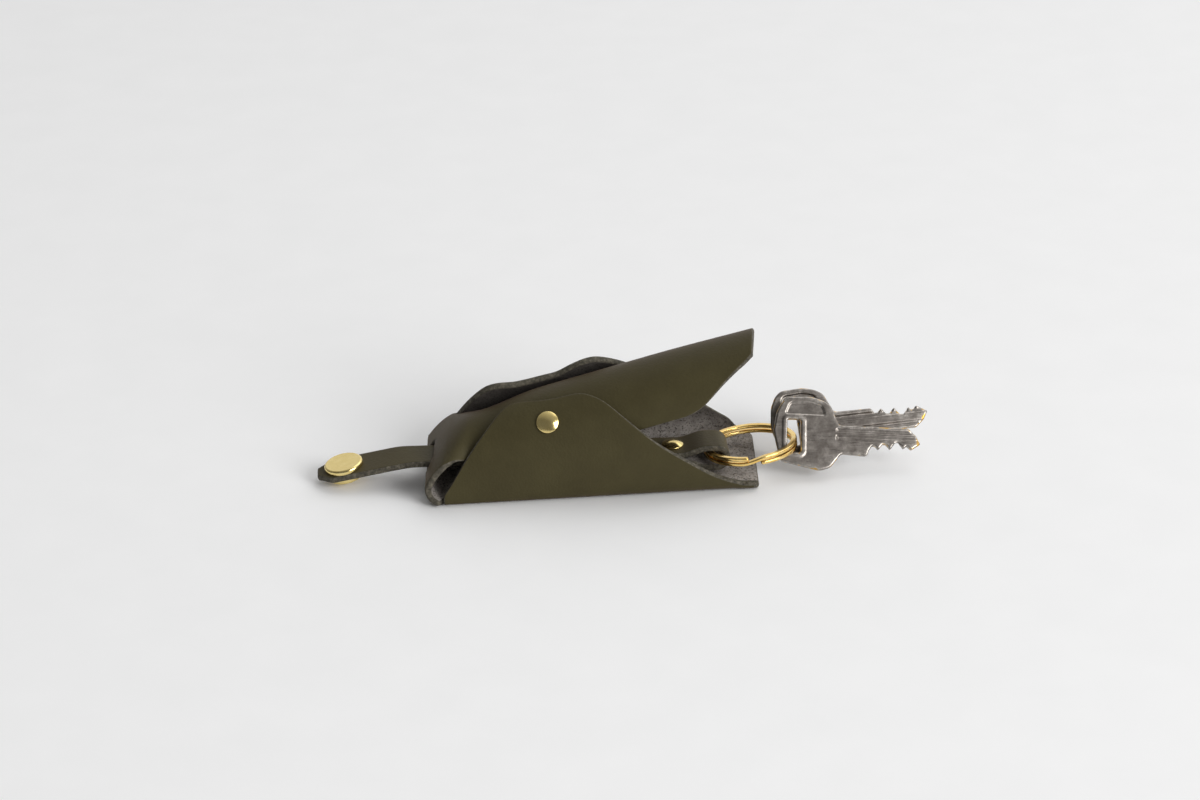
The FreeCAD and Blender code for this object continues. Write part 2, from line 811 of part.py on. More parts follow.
def split_ring():
    """Two turns of one flat wire, crossing from the lower to the upper turn at the front."""
    level = (size("ring_wire_tall") + size("ring_turn_gap")) / 2
    front = -90.0
    lower_start = front + RING_CROSSING
    lower_end = front + 360.0 - RING_CROSSING
    upper_start = lower_end + 2 * RING_CROSSING
    upper_end = upper_start + (lower_end - lower_start)
    edges = turn_arcs(lower_start, lower_end, -level)
    edges += biarc(
        ring_spot(lower_end, -level), ring_tangent(lower_end),
        ring_spot(upper_start, level), ring_tangent(upper_start),
    )
    edges += turn_arcs(upper_start, upper_end, level)
    path = Part.Wire(edges)
    outward = ring_spot(lower_start, 0).normalize() * (size("ring_wire_wide") / 2)
    upward = AXIS_Z * (size("ring_wire_tall") / 2)
    centre = ring_spot(lower_start, -level)
    corners = [centre + outward * i + upward * j for i, j in ((-1, -1), (1, -1), (1, 1), (-1, 1))]
    section = Part.makePolygon(corners + corners[:1])
    shape = path.makePipeShell([section], True, False)
    share = shape.Volume / (size("ring_wire_wide") * size("ring_wire_tall") * path.Length)
    print("split ring: volume over section times length %.4f" % share)
    print("split ring: least gap between turns %.2f mm" % turn_gap(path))
    ring = add_shape("split_ring", shape)
    ring.Placement = ring_frame()
    return ring


def turn_gap(path):
    """Least gap of the wire to itself: distance of points a turn apart, less the wire's height."""
    points = path.discretize(Number=TURN_SAMPLES)
    apart = int(TURN_SAMPLES * TURN_APART_SHARE)
    far = [(i, j) for i in range(TURN_SAMPLES) for j in range(i + apart, TURN_SAMPLES)]
    least = min((points[i] - points[j]).Length for i, j in far)
    return least - size("ring_wire_tall")


# Keys

def key_frame(around, yaw, drop):
    """Frame of a key: origin in its hole, over the wire by key_lift, X along the blade, Y across."""
    spot = ring_frame().multVec(ring_spot(around, 0))
    turn = Rotation(AXIS_Z, yaw - STRAP_YAW).multiply(Rotation(AXIS_Y, drop))
    turn = turn.multiply(Rotation(AXIS_X, 90.0 - KEY_LEAN))
    return Placement(spot + turn.multVec(AXIS_Y * size("key_lift")), turn)


def key(label, length, frame, side):
    """A cylinder key: padded head and blade, a ring hole, a sunk panel and a blade groove.

    Side -1 has the blade's cuts below, side 1 above.
    """
    body = doc.addObject("PartDesign::Body", label)
    body.Label = label
    head = size("key_head")
    blade = size("key_blade")
    outline = [(x * head, y * head) for x, y in KEY_HEAD_SHARES]
    cuts = [(x * length, y * blade) for x, y in KEY_BLADE_SHARES]
    if side > 0:
        outline[-1] = (outline[-2][0], -blade / 2)
        cuts = [(x, -y) for x, y in reversed(cuts)]
    pad_outline(body, "XY_Plane", outline + cuts, "{key_thick}", True)
    half_wide = size("key_hole_wide") / 2
    half_long = size("key_hole_long") / 2
    signs = ((-1, -1), (1, -1), (1, 1), (-1, 1))
    corners = [(half_wide * i, half_long * j) for i, j in signs]
    pocket_outline(body, "ring_hole", corners, "2 * {key_thick}", True, 0)
    face = size("key_thick") / 2
    panel = [(x * head, y * head) for x, y in KEY_PANEL_SHARES]
    pocket_outline(body, "head_panel", panel, "{key_panel_depth}", False, face)
    low = blade * KEY_GROOVE_SHARE * side
    groove = size("key_groove_wide")
    neck = KEY_HEAD_SHARES[0][0] * head
    lane = [(neck, low), (length, low), (length, low + groove), (neck, low + groove)]
    pocket_outline(body, "blade_groove", lane, "{key_groove_depth}", False, face)
    body.Placement = frame
    return body


def build():
    """Every sub-part, in the order in which the case is put together."""
    base_panel()
    end_wall()
    top_flap()
    top_flap_tip()
    wing("front_wing", FRONT_WING_SHARES, FRONT_FLARE_SHARES, -1)
    wing("back_wing", BACK_WING_SHARES, BACK_FLARE_SHARES, 1)
    wing_rivet("front_rivet", -1)
    wing_rivet("back_rivet", 1)
    strap()
    loop_rivet()
    strap_tab()
    snap_cap()
    snap_socket()
    snap_stud()
    split_ring()
    front = key_frame(FRONT_KEY_ROUND, 0, FRONT_KEY_DROP)
    key("key_front", size("front_key_length"), front, -1)
    rear = key_frame(REAR_KEY_ROUND, REAR_KEY_YAW, REAR_KEY_DROP)
    key("key_rear", size("rear_key_length"), rear, 1)


NODES = (
    "base_panel", "end_wall", "top_flap", "top_flap_tip", "front_wing", "back_wing",
    "front_rivet_cap", "front_rivet_post", "back_rivet_cap", "back_rivet_post",
    "strap", "loop_rivet_cap", "loop_rivet_post", "strap_tab", "snap_cap", "snap_socket",
    "snap_stud", "snap_stud_post", "split_ring", "key_front", "key_rear",
)


def export():
    """Check every object and write each sub-part to its file."""
    doc.recompute()
    for item in doc.Objects:
        if "Invalid" in item.State or "Error" in item.State:
            raise RuntimeError("%s failed: %s" % (item.Label, item.State))
    shapes = {}
    for label in NODES:
        shape = doc.getObjectsByLabel(label)[0].Shape
        if shape.isNull() or not shape.isValid() or len(shape.Solids) != 1:
            raise RuntimeError(label + " is not one valid solid")
        shapes[label] = shape
    os.makedirs("parts", exist_ok=True)
    for label, shape in shapes.items():
        shape.exportStep("parts/%s.step" % label)
        print("%s %.1f mm3" % (label, shape.Volume))


build()
export()
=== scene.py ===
"""Leather key case with its strap, split ring and two keys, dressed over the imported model."""
import math
import bpy
import numpy as np
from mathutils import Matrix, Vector


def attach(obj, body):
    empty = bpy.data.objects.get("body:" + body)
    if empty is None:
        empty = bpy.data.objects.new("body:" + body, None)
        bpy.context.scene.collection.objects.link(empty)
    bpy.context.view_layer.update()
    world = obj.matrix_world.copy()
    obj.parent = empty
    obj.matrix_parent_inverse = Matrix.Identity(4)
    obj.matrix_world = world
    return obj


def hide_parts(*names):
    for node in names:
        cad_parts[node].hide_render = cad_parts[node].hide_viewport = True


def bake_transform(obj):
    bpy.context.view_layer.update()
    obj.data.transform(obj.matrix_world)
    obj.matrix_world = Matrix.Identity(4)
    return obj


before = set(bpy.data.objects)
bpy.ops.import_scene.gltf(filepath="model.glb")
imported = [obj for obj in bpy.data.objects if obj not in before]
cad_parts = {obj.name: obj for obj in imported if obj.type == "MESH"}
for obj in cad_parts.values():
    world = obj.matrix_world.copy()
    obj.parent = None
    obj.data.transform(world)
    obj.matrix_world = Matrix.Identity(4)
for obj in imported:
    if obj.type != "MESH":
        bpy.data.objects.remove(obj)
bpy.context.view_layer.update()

# Lengths and stations in millimetres, and angles, as in the solids
MM = 0.001
CASE = 102.0
LEATHER = 2.0
LAY_GAP = 0.3
BASE_HALF = 19.5
BASE_TAPER = 1.2
RIDGE_REAR = 19.9
RIDGE_RISE = 26.3
ARCH_REAR = 13.5
ARCH_GROWTH = 4.6
FOLD_START = 3.0
FLAP_LENGTH = 101.0
FLAP_HALF = 16.5
FLAP_WIDENING = 7.3
WIDENING_START = 7.0
WIDENING_LENGTH = 53.0
BEVEL_START = 79.0
BEVEL_DEPTH = 14.8
WING_HEIGHT = 36.6
WING_TANGENT = math.radians(65)
RIVET_ANGLE = math.radians(50)
RIVET_STATION = 36.0
SLOT_WIDE = 15.4
SLOT_TALL = 6.9
SLOT_LEVEL = 7.35
STRAP_WIDE = 12.6
STRAP_THICK = 2.0
STRAP_LEVEL = 8.2
STRAP_YAW = -2.3
STRAP_ROLL = 3.0
TAB_LENGTH = 28.0
TAB_SLOPE = 11.0
FLEX_STATION = 8.6
SNAP_STATION = 19.4
LOOP_RIVET_STATION = 77.0
EYE_STATION = 88.0
EYE_DROP = 1.15
LOOP_STATION = 90.6
LOOP_RADIUS = 3.35
LOOP_RETURN = 16.5
RING_PITCH = -6.0
RING_ROLL = -7.0
RING_MIDDLE = 14.05
WIRE_WIDE = 1.9
WIRE_TALL = 1.15
TURN_LEVEL = 0.825
KEY_HEAD = 24.0
KEY_BLADE = 8.0
KEY_HALF_THICK = 1.0
KEY_LIFT = 2.35
KEY_TILT = 50.0
# A key's ring hole: half of each side without its corners, and the corners' radius
HOLE_HALF = (1.5, 4.7)
HOLE_CORNER = 0.7

# Softer lines of the leather, drawn here only. First the folded end, which bows out further than its
# solid and lies askew
FOLD_LENGTH = 10.0
FOLD_REACH = 3.2
FOLD_WIDEST = 0.3
FOLD_LOW_ROUND = 0.8
FOLD_HIGH_ROUND = 1.6
FOLD_DROOP = 6
FOLD_TUCK = 2.4
TUCK_SHARE = 0.15
FOLD_SKEW = 7.0
SKEW_FADE = 25.0
# The flap's ridge near the fold, and its tip
RIDGE_DIP = 1.0
DIP_FADE = 30.0
TIP_SKEW = 3.0
TIP_SKEW_START = 72.0
TIP_SKEW_LENGTH = 29.0
# The mouth's end, which reaches further on its far side, and its two corners
MOUTH_START = 55.0
MOUTH_LENGTH = 47.0
MOUTH_REACH = 2.4
MOUTH_SKEW = 1.6
MOUTH_HALF = 18.0
NEAR_CORNER = 1.5
FAR_CORNER = 4.5
CORNER_START = 94.0
CORNER_LENGTH = 8.0
# The crease between base and wing: its leg up the wing, at most a share of the wing, and its foot
CREASE_LEG = 3.0
CREASE_SHARE = 0.8
CREASE_FOOT = 2.4
# Half-round of a cut leather edge, how far it stands out and in how many steps it is drawn
EDGE_SWELL = 0.4
EDGE_STEPS = 6
# Fineness of the leather's grids. The case's rows lie closer together up to a station near the fold
FINE_LENGTH = 14.0
FINE_ROWS = 38
CASE_ROWS = 118
WING_COLUMNS = 50
CREASE_COLUMNS = 9
BASE_COLUMNS = 15
FOLD_ROWS = 97
FLAP_ROWS = 150
FLAP_COLUMNS = 61
JOIN_ROWS = (76, 120)
JOIN_ROUNDS = 60
# Smallest bend and distance that are divided by
LEAST_BEND = 0.00001
LEAST_DISTANCE = 0.001
# Where the flap would start to turn with its tip, and where it would turn fully, in metres; nothing in
# this script turns it
FLAP_FLEX = ((0.009, 0, 0.03), (0.021, 0, 0.03))

# Wing outlines as (share of the case's length, share of the wing's height)
FRONT_WING = (
    (0.021, 0.083), (0.051, 0.200), (0.073, 0.297), (0.094, 0.389), (0.114, 0.471), (0.135, 0.554),
    (0.158, 0.639), (0.180, 0.722), (0.201, 0.800), (0.222, 0.873), (0.242, 0.921), (0.265, 0.943),
    (0.294, 0.950), (0.330, 0.948), (0.375, 0.958), (0.413, 0.981), (0.449, 1.000), (0.479, 0.989),
    (0.525, 0.921), (0.590, 0.762), (0.683, 0.541), (0.782, 0.350), (0.863, 0.197), (0.946, 0.086),
    (1.000, 0.066),
)
BACK_WING = (
    (0.021, 0.075), (0.044, 0.190), (0.064, 0.300), (0.103, 0.508), (0.140, 0.690), (0.179, 0.846),
    (0.209, 0.890), (0.236, 0.900), (0.270, 0.902), (0.321, 0.904), (0.375, 0.921), (0.413, 0.942),
    (0.449, 0.997), (0.486, 1.048), (0.525, 1.052), (0.590, 0.940), (0.683, 0.730), (0.782, 0.490),
    (0.863, 0.300), (0.946, 0.140), (1.000, 0.066),
)
# How far a wing's upper arc opens, as (share of the case's length, growth of its radius)
FRONT_FLARE = ((0.0, 0.0), (1.0, 0.0))
BACK_FLARE = (
    (0.000, 1.60), (0.190, 1.50), (0.265, 0.65), (0.300, 0.55), (0.353, 0.55), (0.406, 0.55),
    (0.450, 1.20), (0.510, 1.60), (0.608, 1.40), (1.000, 1.00),
)
# The bevel of the flap's mouth as (share of its length, share of its depth)
FLAP_BEVEL = (
    (0.000, 0.000), (0.118, 0.034), (0.200, 0.074), (0.273, 0.135), (0.359, 0.236), (0.455, 0.358),
    (0.555, 0.486), (0.668, 0.615), (0.768, 0.723), (0.859, 0.811), (0.936, 0.905), (1.000, 1.000),
)
# Key outlines as shares of the head's and the blade's sizes
KEY_HEAD_LINE = (
    (0.604, 0.167), (0.496, 0.429), (0.392, 0.496), (0.225, 0.542), (-0.071, 0.529),
    (-0.158, 0.463), (-0.233, 0.321), (-0.275, 0.058), (-0.183, -0.342), (0.346, -0.454),
    (0.488, -0.413), (0.638, -0.217), (0.985, -0.235),
)
KEY_CUT_LINE = (
    (0.590, -0.480), (0.615, -0.280), (0.640, -0.280), (0.665, -0.430), (0.700, -0.200),
    (0.725, -0.200), (0.760, -0.400), (0.800, -0.100), (0.825, -0.100), (0.865, -0.350),
    (0.890, -0.230), (0.925, -0.380), (1.000, -0.120), (0.960, 0.240), (0.900, 0.500),
)
KEY_PANEL_LINE = ((-0.130, 0.290), (-0.060, 0.460), (0.220, 0.475), (0.380, 0.430), (0.430, 0.290))


# Small tools

# A rounded corner's longest leg as a share of its side, and the points that it is drawn with
CORNER_SHARE = 0.45
CORNER_POINTS = 6
# A direction that no axis here takes, for a turned piece to start from
ASIDE = (1.0, 0.0, 0.3)
NO_FANS = np.zeros((0, 3), int)


def eased(t):
    """Step from 0 to 1 that is level at both ends: 3 t squared less 2 t cubed, held outside."""
    t = np.clip(t, 0, 1)
    return t * t * (3 - 2 * t)


def through(table, places):
    """Cubic Hermite curve through rows of (place, value), with slopes taken over two neighbours."""
    rows, values = np.array(table, float).T
    order = np.arange(len(rows))
    low = np.maximum(order - 1, 0)
    high = np.minimum(order + 1, len(rows) - 1)
    slopes = (values[high] - values[low]) / (rows[high] - rows[low])
    places = np.clip(places, rows[0], rows[-1])
    i = np.clip(np.searchsorted(rows, places, side="right") - 1, 0, len(rows) - 2)
    span = rows[i + 1] - rows[i]
    t = (places - rows[i]) / span
    level = (1 + 2 * t) * (1 - t) ** 2 * values[i] + t * t * (3 - 2 * t) * values[i + 1]
    return level + span * (t * (1 - t) ** 2 * slopes[i] + t * t * (t - 1) * slopes[i + 1])


def about(axis, degrees):
    """Rotation matrix about one of the axes."""
    c = math.cos(math.radians(degrees))
    s = math.sin(math.radians(degrees))
    if axis == "X":
        return np.array([[1, 0, 0], [0, c, -s], [0, s, c]])
    if axis == "Y":
        return np.array([[c, 0, s], [0, 1, 0], [-s, 0, c]])
    return np.array([[c, -s, 0], [s, c, 0], [0, 0, 1]])


def put(points, turn, origin):
    """Points of a piece's own frame, turned and moved into the shared frame."""
    return points @ turn.T + origin


def softened(corners, reach, closed):
    """Line through corner points with each corner rounded.

    A corner becomes a quadratic curve whose two legs run along its sides, as long as reach or a
    share of the side, whichever is shorter. Reach is one length, or one for each corner.
    """
    corners = np.array(corners, float)
    reach = np.broadcast_to(reach, len(corners))[:, None]
    back = np.roll(corners, 1, 0) - corners
    ahead = np.roll(corners, -1, 0) - corners
    legs = []
    for way in (back, ahead):
        side = np.linalg.norm(way, axis=1, keepdims=True)
        legs.append(way / side * np.minimum(reach, CORNER_SHARE * side))
    t = np.linspace(0, 1, CORNER_POINTS)[None, :, None]
    rounded = corners[:, None] + legs[0][:, None] * (1 - t) ** 2 + legs[1][:, None] * t ** 2
    if closed:
        return rounded.reshape(-1, 2)
    return np.concatenate([corners[:1], rounded[1:-1].reshape(-1, 2), corners[-1:]])


def volume(points, quads):
    """Signed volume inside quads, from the corner determinants of their two triangles."""
    a, b, c, d = (points[quads[:, i]] for i in range(4))
    return (a * (np.cross(b, c) + np.cross(c, d))).sum() / 6


def new_piece(name, points, quads, fans, finishes, kinds, body, nodes):
    """Smooth mesh object from points in mm, in place of CAD nodes: it rides on a body when one is named,
    and otherwise on none.

    Its faces are quads and, at closed ends, fans of triangles, turned so that the volume inside
    the quads is positive.
    """
    if volume(points, quads) < 0:
        quads = quads[:, ::-1]
        fans = fans[:, ::-1]
    mesh = bpy.data.meshes.new(name)
    mesh.from_pydata((points * MM).tolist(), [], quads.tolist() + fans.tolist())
    for finish in finishes:
        mesh.materials.append(finish)
    if len(finishes) > 1:
        mesh.polygons.foreach_set("material_index", kinds.astype(np.int32))
    mesh.polygons.foreach_set("use_smooth", np.ones(len(mesh.polygons), bool))
    mesh.update()
    piece = bpy.data.objects.new(name, mesh)
    bpy.context.scene.collection.objects.link(piece)
    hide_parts(*nodes)
    if isinstance(body, str):
        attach(piece, body)
    else:
        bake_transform(piece)
    return piece


def grid_cells(shape):
    """Corner numbers of each cell of a grid of points."""
    grid = np.arange(shape[0] * shape[1]).reshape(shape[:2])
    return np.stack([grid[:-1, :-1], grid[:-1, 1:], grid[1:, 1:], grid[1:, :-1]], -1)


def solid_sheet(outer, inner, keep, swell, steps):
    """Closed solid between two grids of points, cell by cell where keep holds.

    Each kept cell gives an outer and an inner face. Each border of the kept cells gets an edge that
    runs from outer to inner along a half ellipse, swell wide. Returns points, quads, and each
    quad's kind: 0 outer, 1 inner, 2 edge.
    """
    count = outer.shape[0] * outer.shape[1]
    cells = grid_cells(outer.shape)[keep]
    top = outer.reshape(-1, 3)
    low = inner.reshape(-1, 3)
    sides = cells[:, [[0, 1], [1, 2], [2, 3], [3, 0]]].reshape(-1, 2)
    names = np.sort(sides, 1) @ np.array([count, 1])
    first, times = np.unique(names, return_index=True, return_counts=True)[1:]
    border = sides[first[times == 1]]
    rim = np.unique(border)
    inwards = np.zeros((count, 3))
    hits = np.zeros((count, 1))
    np.add.at(inwards, cells.ravel(), np.repeat(top[cells].mean(1), 4, 0))
    np.add.at(hits, cells.ravel(), 1)
    through_it = low[rim] - top[rim]
    way = through_it / np.linalg.norm(through_it, axis=1, keepdims=True)
    away = top[rim] - inwards[rim] / hits[rim]
    away -= way * (away * way).sum(1, keepdims=True)
    away /= np.linalg.norm(away, axis=1, keepdims=True)
    t = np.linspace(0, 1, steps + 1)[1:-1]
    bulge = swell * np.sqrt(1 - (2 * t - 1) ** 2)
    edge = top[rim][:, None] + through_it[:, None] * t[:, None] + away[:, None] * bulge[:, None]
    places = 2 * count + np.arange(len(rim) * len(t)).reshape(len(rim), len(t))
    ladder = np.concatenate([rim[:, None], places, rim[:, None] + count], 1)
    a = ladder[np.searchsorted(rim, border[:, 0])]
    b = ladder[np.searchsorted(rim, border[:, 1])]
    walls = np.stack([b[:, :-1], a[:, :-1], a[:, 1:], b[:, 1:]], -1).reshape(-1, 4)
    quads = np.concatenate([cells, cells[:, ::-1] + count, walls])
    kinds = np.repeat([0, 1, 2], [len(cells), len(cells), len(walls)])
    points = np.concatenate([top, low, edge.reshape(-1, 3)])
    used, quads = np.unique(quads, return_inverse=True)
    return points[used], quads.reshape(-1, 4), kinds


def torn_rim(keep):
    """Grid points that touch both a kept cell and a removed one."""
    kept = np.zeros((keep.shape[0] + 1, keep.shape[1] + 1), bool)
    gone = kept.copy()
    for rows in (slice(0, -1), slice(1, None)):
        for cols in (slice(0, -1), slice(1, None)):
            kept[rows, cols] |= keep
            gone[rows, cols] |= ~keep
    return kept & gone


def wound(profiles):
    """Points, quads and end fans over a row of closed profiles, an array of (rows, around, 3).

    Each end is closed by a fan of triangles on its own middle.
    """
    rows, around = profiles.shape[:2]
    ring = np.arange(rows * around).reshape(rows, around)
    beside = np.roll(ring, -1, 1)
    quads = np.stack([ring[:-1], ring[1:], beside[1:], beside[:-1]], -1).reshape(-1, 4)
    first, last = rows * around, rows * around + 1
    fans = np.concatenate([
        np.stack([ring[0], beside[0], np.full(around, first)], -1),
        np.stack([beside[-1], ring[-1], np.full(around, last)], -1),
    ])
    middles = profiles[[0, -1]].mean(1)
    return np.concatenate([profiles.reshape(-1, 3), middles]), quads, fans


def on_seat(profile, seat, axis, steps):
    """Surface of revolution: (radius, height) pairs turned about an axis that stands on a seat."""
    axis = axis / np.linalg.norm(axis)
    side = np.cross(axis, ASIDE)
    side /= np.linalg.norm(side)
    other = np.cross(axis, side)
    angle = np.linspace(0, 2 * math.pi, steps, endpoint=False)[None, :, None]
    radius = profile[:, 0][:, None, None]
    height = profile[:, 1][:, None, None]
    return seat + axis * height + (side * np.cos(angle) + other * np.sin(angle)) * radius


# Folded leather case

def base_half(s):
    """Half width of the base at a station, an even taper towards the mouth."""
    return BASE_HALF - BASE_TAPER * s / CASE


def ridge(s):
    """Height of the flap's crown at a station, an even rise towards the mouth."""
    return RIDGE_REAR + RIDGE_RISE * s / CASE


def arch(s):
    """Radius of the flap's arch at a station, an even growth towards the mouth."""
    return ARCH_REAR + ARCH_GROWTH * s / CASE


def wing_line(s, girth, flare, depth):
    """Point (out from the middle, height) of a wing at a girth up from the base's edge.

    A low arc rises from the base's edge and meets, tangent to it, the flap's arch grown by the
    layers between. Flare is the growth of that upper arc's radius. Depth goes into the leather.
    """
    radius = arch(s) + LAY_GAP + LEATHER
    out, up = math.sin(WING_TANGENT), math.cos(WING_TANGENT)
    join_out = out * radius
    join_up = ridge(s) - arch(s) + up * radius
    chord_out = join_out - base_half(s)
    low = (chord_out ** 2 + join_up ** 2) / (2 * (chord_out * out + join_up * up))
    low_out = join_out - out * low
    low_up = join_up - up * low
    start = np.arctan2(-low_up, base_half(s) - low_out)
    turn = math.pi / 2 - WING_TANGENT
    reach = low * (turn - start)
    high = radius * (1 + flare)
    below = girth < reach
    angle = np.where(below, start + girth / low, turn + (girth - reach) / high)
    bend = np.where(below, low, high) - depth
    middle_out = np.where(below, low_out, join_out - out * high)
    middle_up = np.where(below, low_up, join_up - up * high)
    return middle_out + np.cos(angle) * bend, middle_up + np.sin(angle) * bend


def wing_half(s, outline, flares, t):
    """Grain and flesh lines of one half of the blank, from the wing's edge (t 0) to the base's middle.

    The wing comes down to the crease, a quadratic curve turns under it, and the base runs flat.
    """
    girth = through(outline, s / CASE) * WING_HEIGHT - EDGE_SWELL
    flare = through(flares, s / CASE)
    leg = np.minimum(CREASE_LEG, CREASE_SHARE * girth)
    foot = np.maximum(leg, CREASE_FOOT)
    edge = base_half(s)
    wing = girth + (leg - girth) * t["wing"]
    out, up = wing_line(s, wing, flare, 0)
    crease_out, crease_up = wing_line(s, leg, flare, 0)
    k = t["crease"]
    turn_out = (1 - k) ** 2 * crease_out + 2 * k * (1 - k) * edge + k * k * (edge - foot)
    turn_up = (1 - k) ** 2 * crease_up
    flat_out = (edge - foot) * (1 - t["base"])
    grain = np.stack([
        np.concatenate([out, turn_out, flat_out], 1),
        np.concatenate([up, turn_up, 0 * flat_out], 1),
    ], -1)
    in_out, in_up = wing_line(s, wing, flare, LEATHER)
    low_out = in_out[:, -1:] + (edge - foot - in_out[:, -1:]) * k
    flesh = np.stack([
        np.concatenate([in_out, low_out, flat_out], 1),
        np.concatenate([np.maximum(in_up, LEATHER), 0 * low_out + LEATHER, 0 * flat_out + LEATHER], 1),
    ], -1)
    return grain, flesh


def case_blank(finishes):
    """Base and both wings as one folded sheet: the near half, then the far half mirrored."""
    fine = np.linspace(FOLD_START, FINE_LENGTH, FINE_ROWS)
    s = np.concatenate([fine, np.linspace(FINE_LENGTH, CASE, CASE_ROWS)[1:]])[:, None]
    t = {
        "wing": np.linspace(0, 1, WING_COLUMNS)[None],
        "crease": np.linspace(0, 1, CREASE_COLUMNS)[None, 1:],
        "base": np.linspace(0, 1, BASE_COLUMNS)[None, 1:],
    }
    near = wing_half(s, FRONT_WING, FRONT_FLARE, t)
    far = wing_half(s, BACK_WING, BACK_FLARE, t)
    sheets = []
    for front, back in zip(near, far):
        y = np.concatenate([-front[..., 0], back[:, -2::-1, 0]], 1)
        z = np.concatenate([front[..., 1], back[:, -2::-1, 1]], 1)
        # The mouth's end lies askew, and quarter circles round its corners
        round_off = np.where(y > 0, FAR_CORNER, NEAR_CORNER)
        over = np.clip(np.abs(y) - base_half(s) + round_off, 0, round_off)
        back_off = round_off - np.sqrt(round_off ** 2 - over ** 2)
        back_off = back_off * eased((s - CORNER_START) / CORNER_LENGTH)
        reach = MOUTH_REACH + MOUTH_SKEW * np.clip(y / MOUTH_HALF, -1, 1)
        askew = eased((s - MOUTH_START) / MOUTH_LENGTH) * reach
        x = s - CASE / 2 - EDGE_SWELL * s / CASE - back_off + askew
        sheets.append(np.stack([x, y, z], -1))
    outer, inner = sheets
    keep = np.ones((outer.shape[0] - 1, outer.shape[1] - 1), bool)
    points, quads, kinds = solid_sheet(outer, inner, keep, EDGE_SWELL, EDGE_STEPS)
    nodes = ("base_panel", "front_wing", "back_wing")
    return new_piece("case_blank", points, quads, NO_FANS, finishes, kinds, "case", nodes)


def flap_half(s):
    """Half width of the flap round its arch: an even widening, then the bevel of its mouth."""
    wide = FLAP_HALF + FLAP_WIDENING * np.clip((s - WIDENING_START) / WIDENING_LENGTH, 0, 1)
    return wide - BEVEL_DEPTH * through(FLAP_BEVEL, (s - BEVEL_START) / (FLAP_LENGTH - BEVEL_START))


def tongue_grid():
    """Grain side of the folded end and the flap as one strip.

    The folded end's line is two quarter superellipses, tight below its widest place and gentle
    above. Its sides droop, with a power of the way up, from flat at the base to the flap's arch. The
    flap is arcs about the ridge, which dips towards the fold. The fold lies askew: its far side
    stands back in proportion to the way up, and the flap's far side reaches on at the tip. Rows next
    to the join are averaged with their neighbours, so that fold and flap run into each other.
    """
    share = np.linspace(0, 1, FOLD_ROWS)[:, None]
    across = np.linspace(-1, 1, FLAP_COLUMNS)[None]
    turn = math.pi * share
    low = np.cos(turn) > 0
    roundness = np.where(low, FOLD_LOW_ROUND, FOLD_HIGH_ROUND)
    rise = 1 - np.abs(np.cos(turn)) ** roundness
    top = ridge(FOLD_LENGTH) - RIDGE_DIP
    level = top * np.where(low, FOLD_WIDEST * rise, 1 - (1 - FOLD_WIDEST) * rise)
    bow = np.clip(np.sin(turn), 0, 1) ** roundness
    flat = FOLD_START + (FOLD_LENGTH - FOLD_START) * share
    deep = FOLD_REACH + FOLD_START * (1 - share) + FOLD_LENGTH * share
    top_half = flap_half(FOLD_LENGTH) - EDGE_SWELL
    base = base_half(FOLD_START) - EDGE_SWELL - FOLD_TUCK * (1 - eased(share / TUCK_SHARE))
    half = base * (1 - share) + top_half * share
    bend = np.maximum(share ** FOLD_DROOP * top_half / arch(FOLD_LENGTH), LEAST_BEND)
    y = half / bend * np.sin(bend * across)
    z = level - half / bend * (1 - np.cos(bend * across))
    skew = FOLD_SKEW * (across + 1) / 2
    fold = np.stack([flat - deep * bow - CASE / 2 + skew * share, y, z], -1)
    s = np.linspace(FOLD_LENGTH, FLAP_LENGTH - EDGE_SWELL, FLAP_ROWS)[1:, None]
    reach = (flap_half(s) - EDGE_SWELL) / arch(s)
    dip = RIDGE_DIP * (1 - eased((s - FOLD_LENGTH) / DIP_FADE))
    y = arch(s) * np.sin(reach * across)
    z = ridge(s) - dip - arch(s) * (1 - np.cos(reach * across))
    tip = TIP_SKEW * (across + 1) / 2 * eased((s - TIP_SKEW_START) / TIP_SKEW_LENGTH)
    x = s - CASE / 2 + skew * (1 - eased((s - FOLD_LENGTH) / SKEW_FADE)) + tip
    grid = np.concatenate([fold, np.stack([x, y, z], -1)])
    first, last = JOIN_ROWS
    for again in range(JOIN_ROUNDS):
        before = grid[first - 1:last - 1]
        after = grid[first + 1:last + 1]
        grid[first:last] = (before + 2 * grid[first:last] + after) / 4
    return grid


def under(grid, depth):
    """The grid moved a depth against its normals, the cross products of its two slopes."""
    normal = np.cross(np.gradient(grid, axis=0), np.gradient(grid, axis=1))
    return grid - depth * normal / np.linalg.norm(normal, axis=-1, keepdims=True)


def slot_distance(y, z):
    """Distance out from the strap slot, a bar with half-round ends, and the way out of it."""
    side = np.sign(y) * np.maximum(np.abs(y) - (SLOT_WIDE - SLOT_TALL) / 2, 0)
    rise = z - SLOT_LEVEL
    far = np.maximum(np.hypot(side, rise), LEAST_DISTANCE)
    return far - SLOT_TALL / 2, side / far, rise / far


def cut_to_slot(grid, rim):
    """Moves the torn rim's points onto the slot's line, along the leather's own slope."""
    x, y, z = grid[..., 0], grid[..., 1], grid[..., 2]
    climb = np.gradient(z, axis=0)
    slope = np.gradient(x, axis=0) / np.where(climb == 0, 1, climb)
    off, side, rise = slot_distance(y, z)
    shift = np.stack([-off * rise * slope, -off * side, -off * rise], -1)
    return grid + shift * rim[..., None]


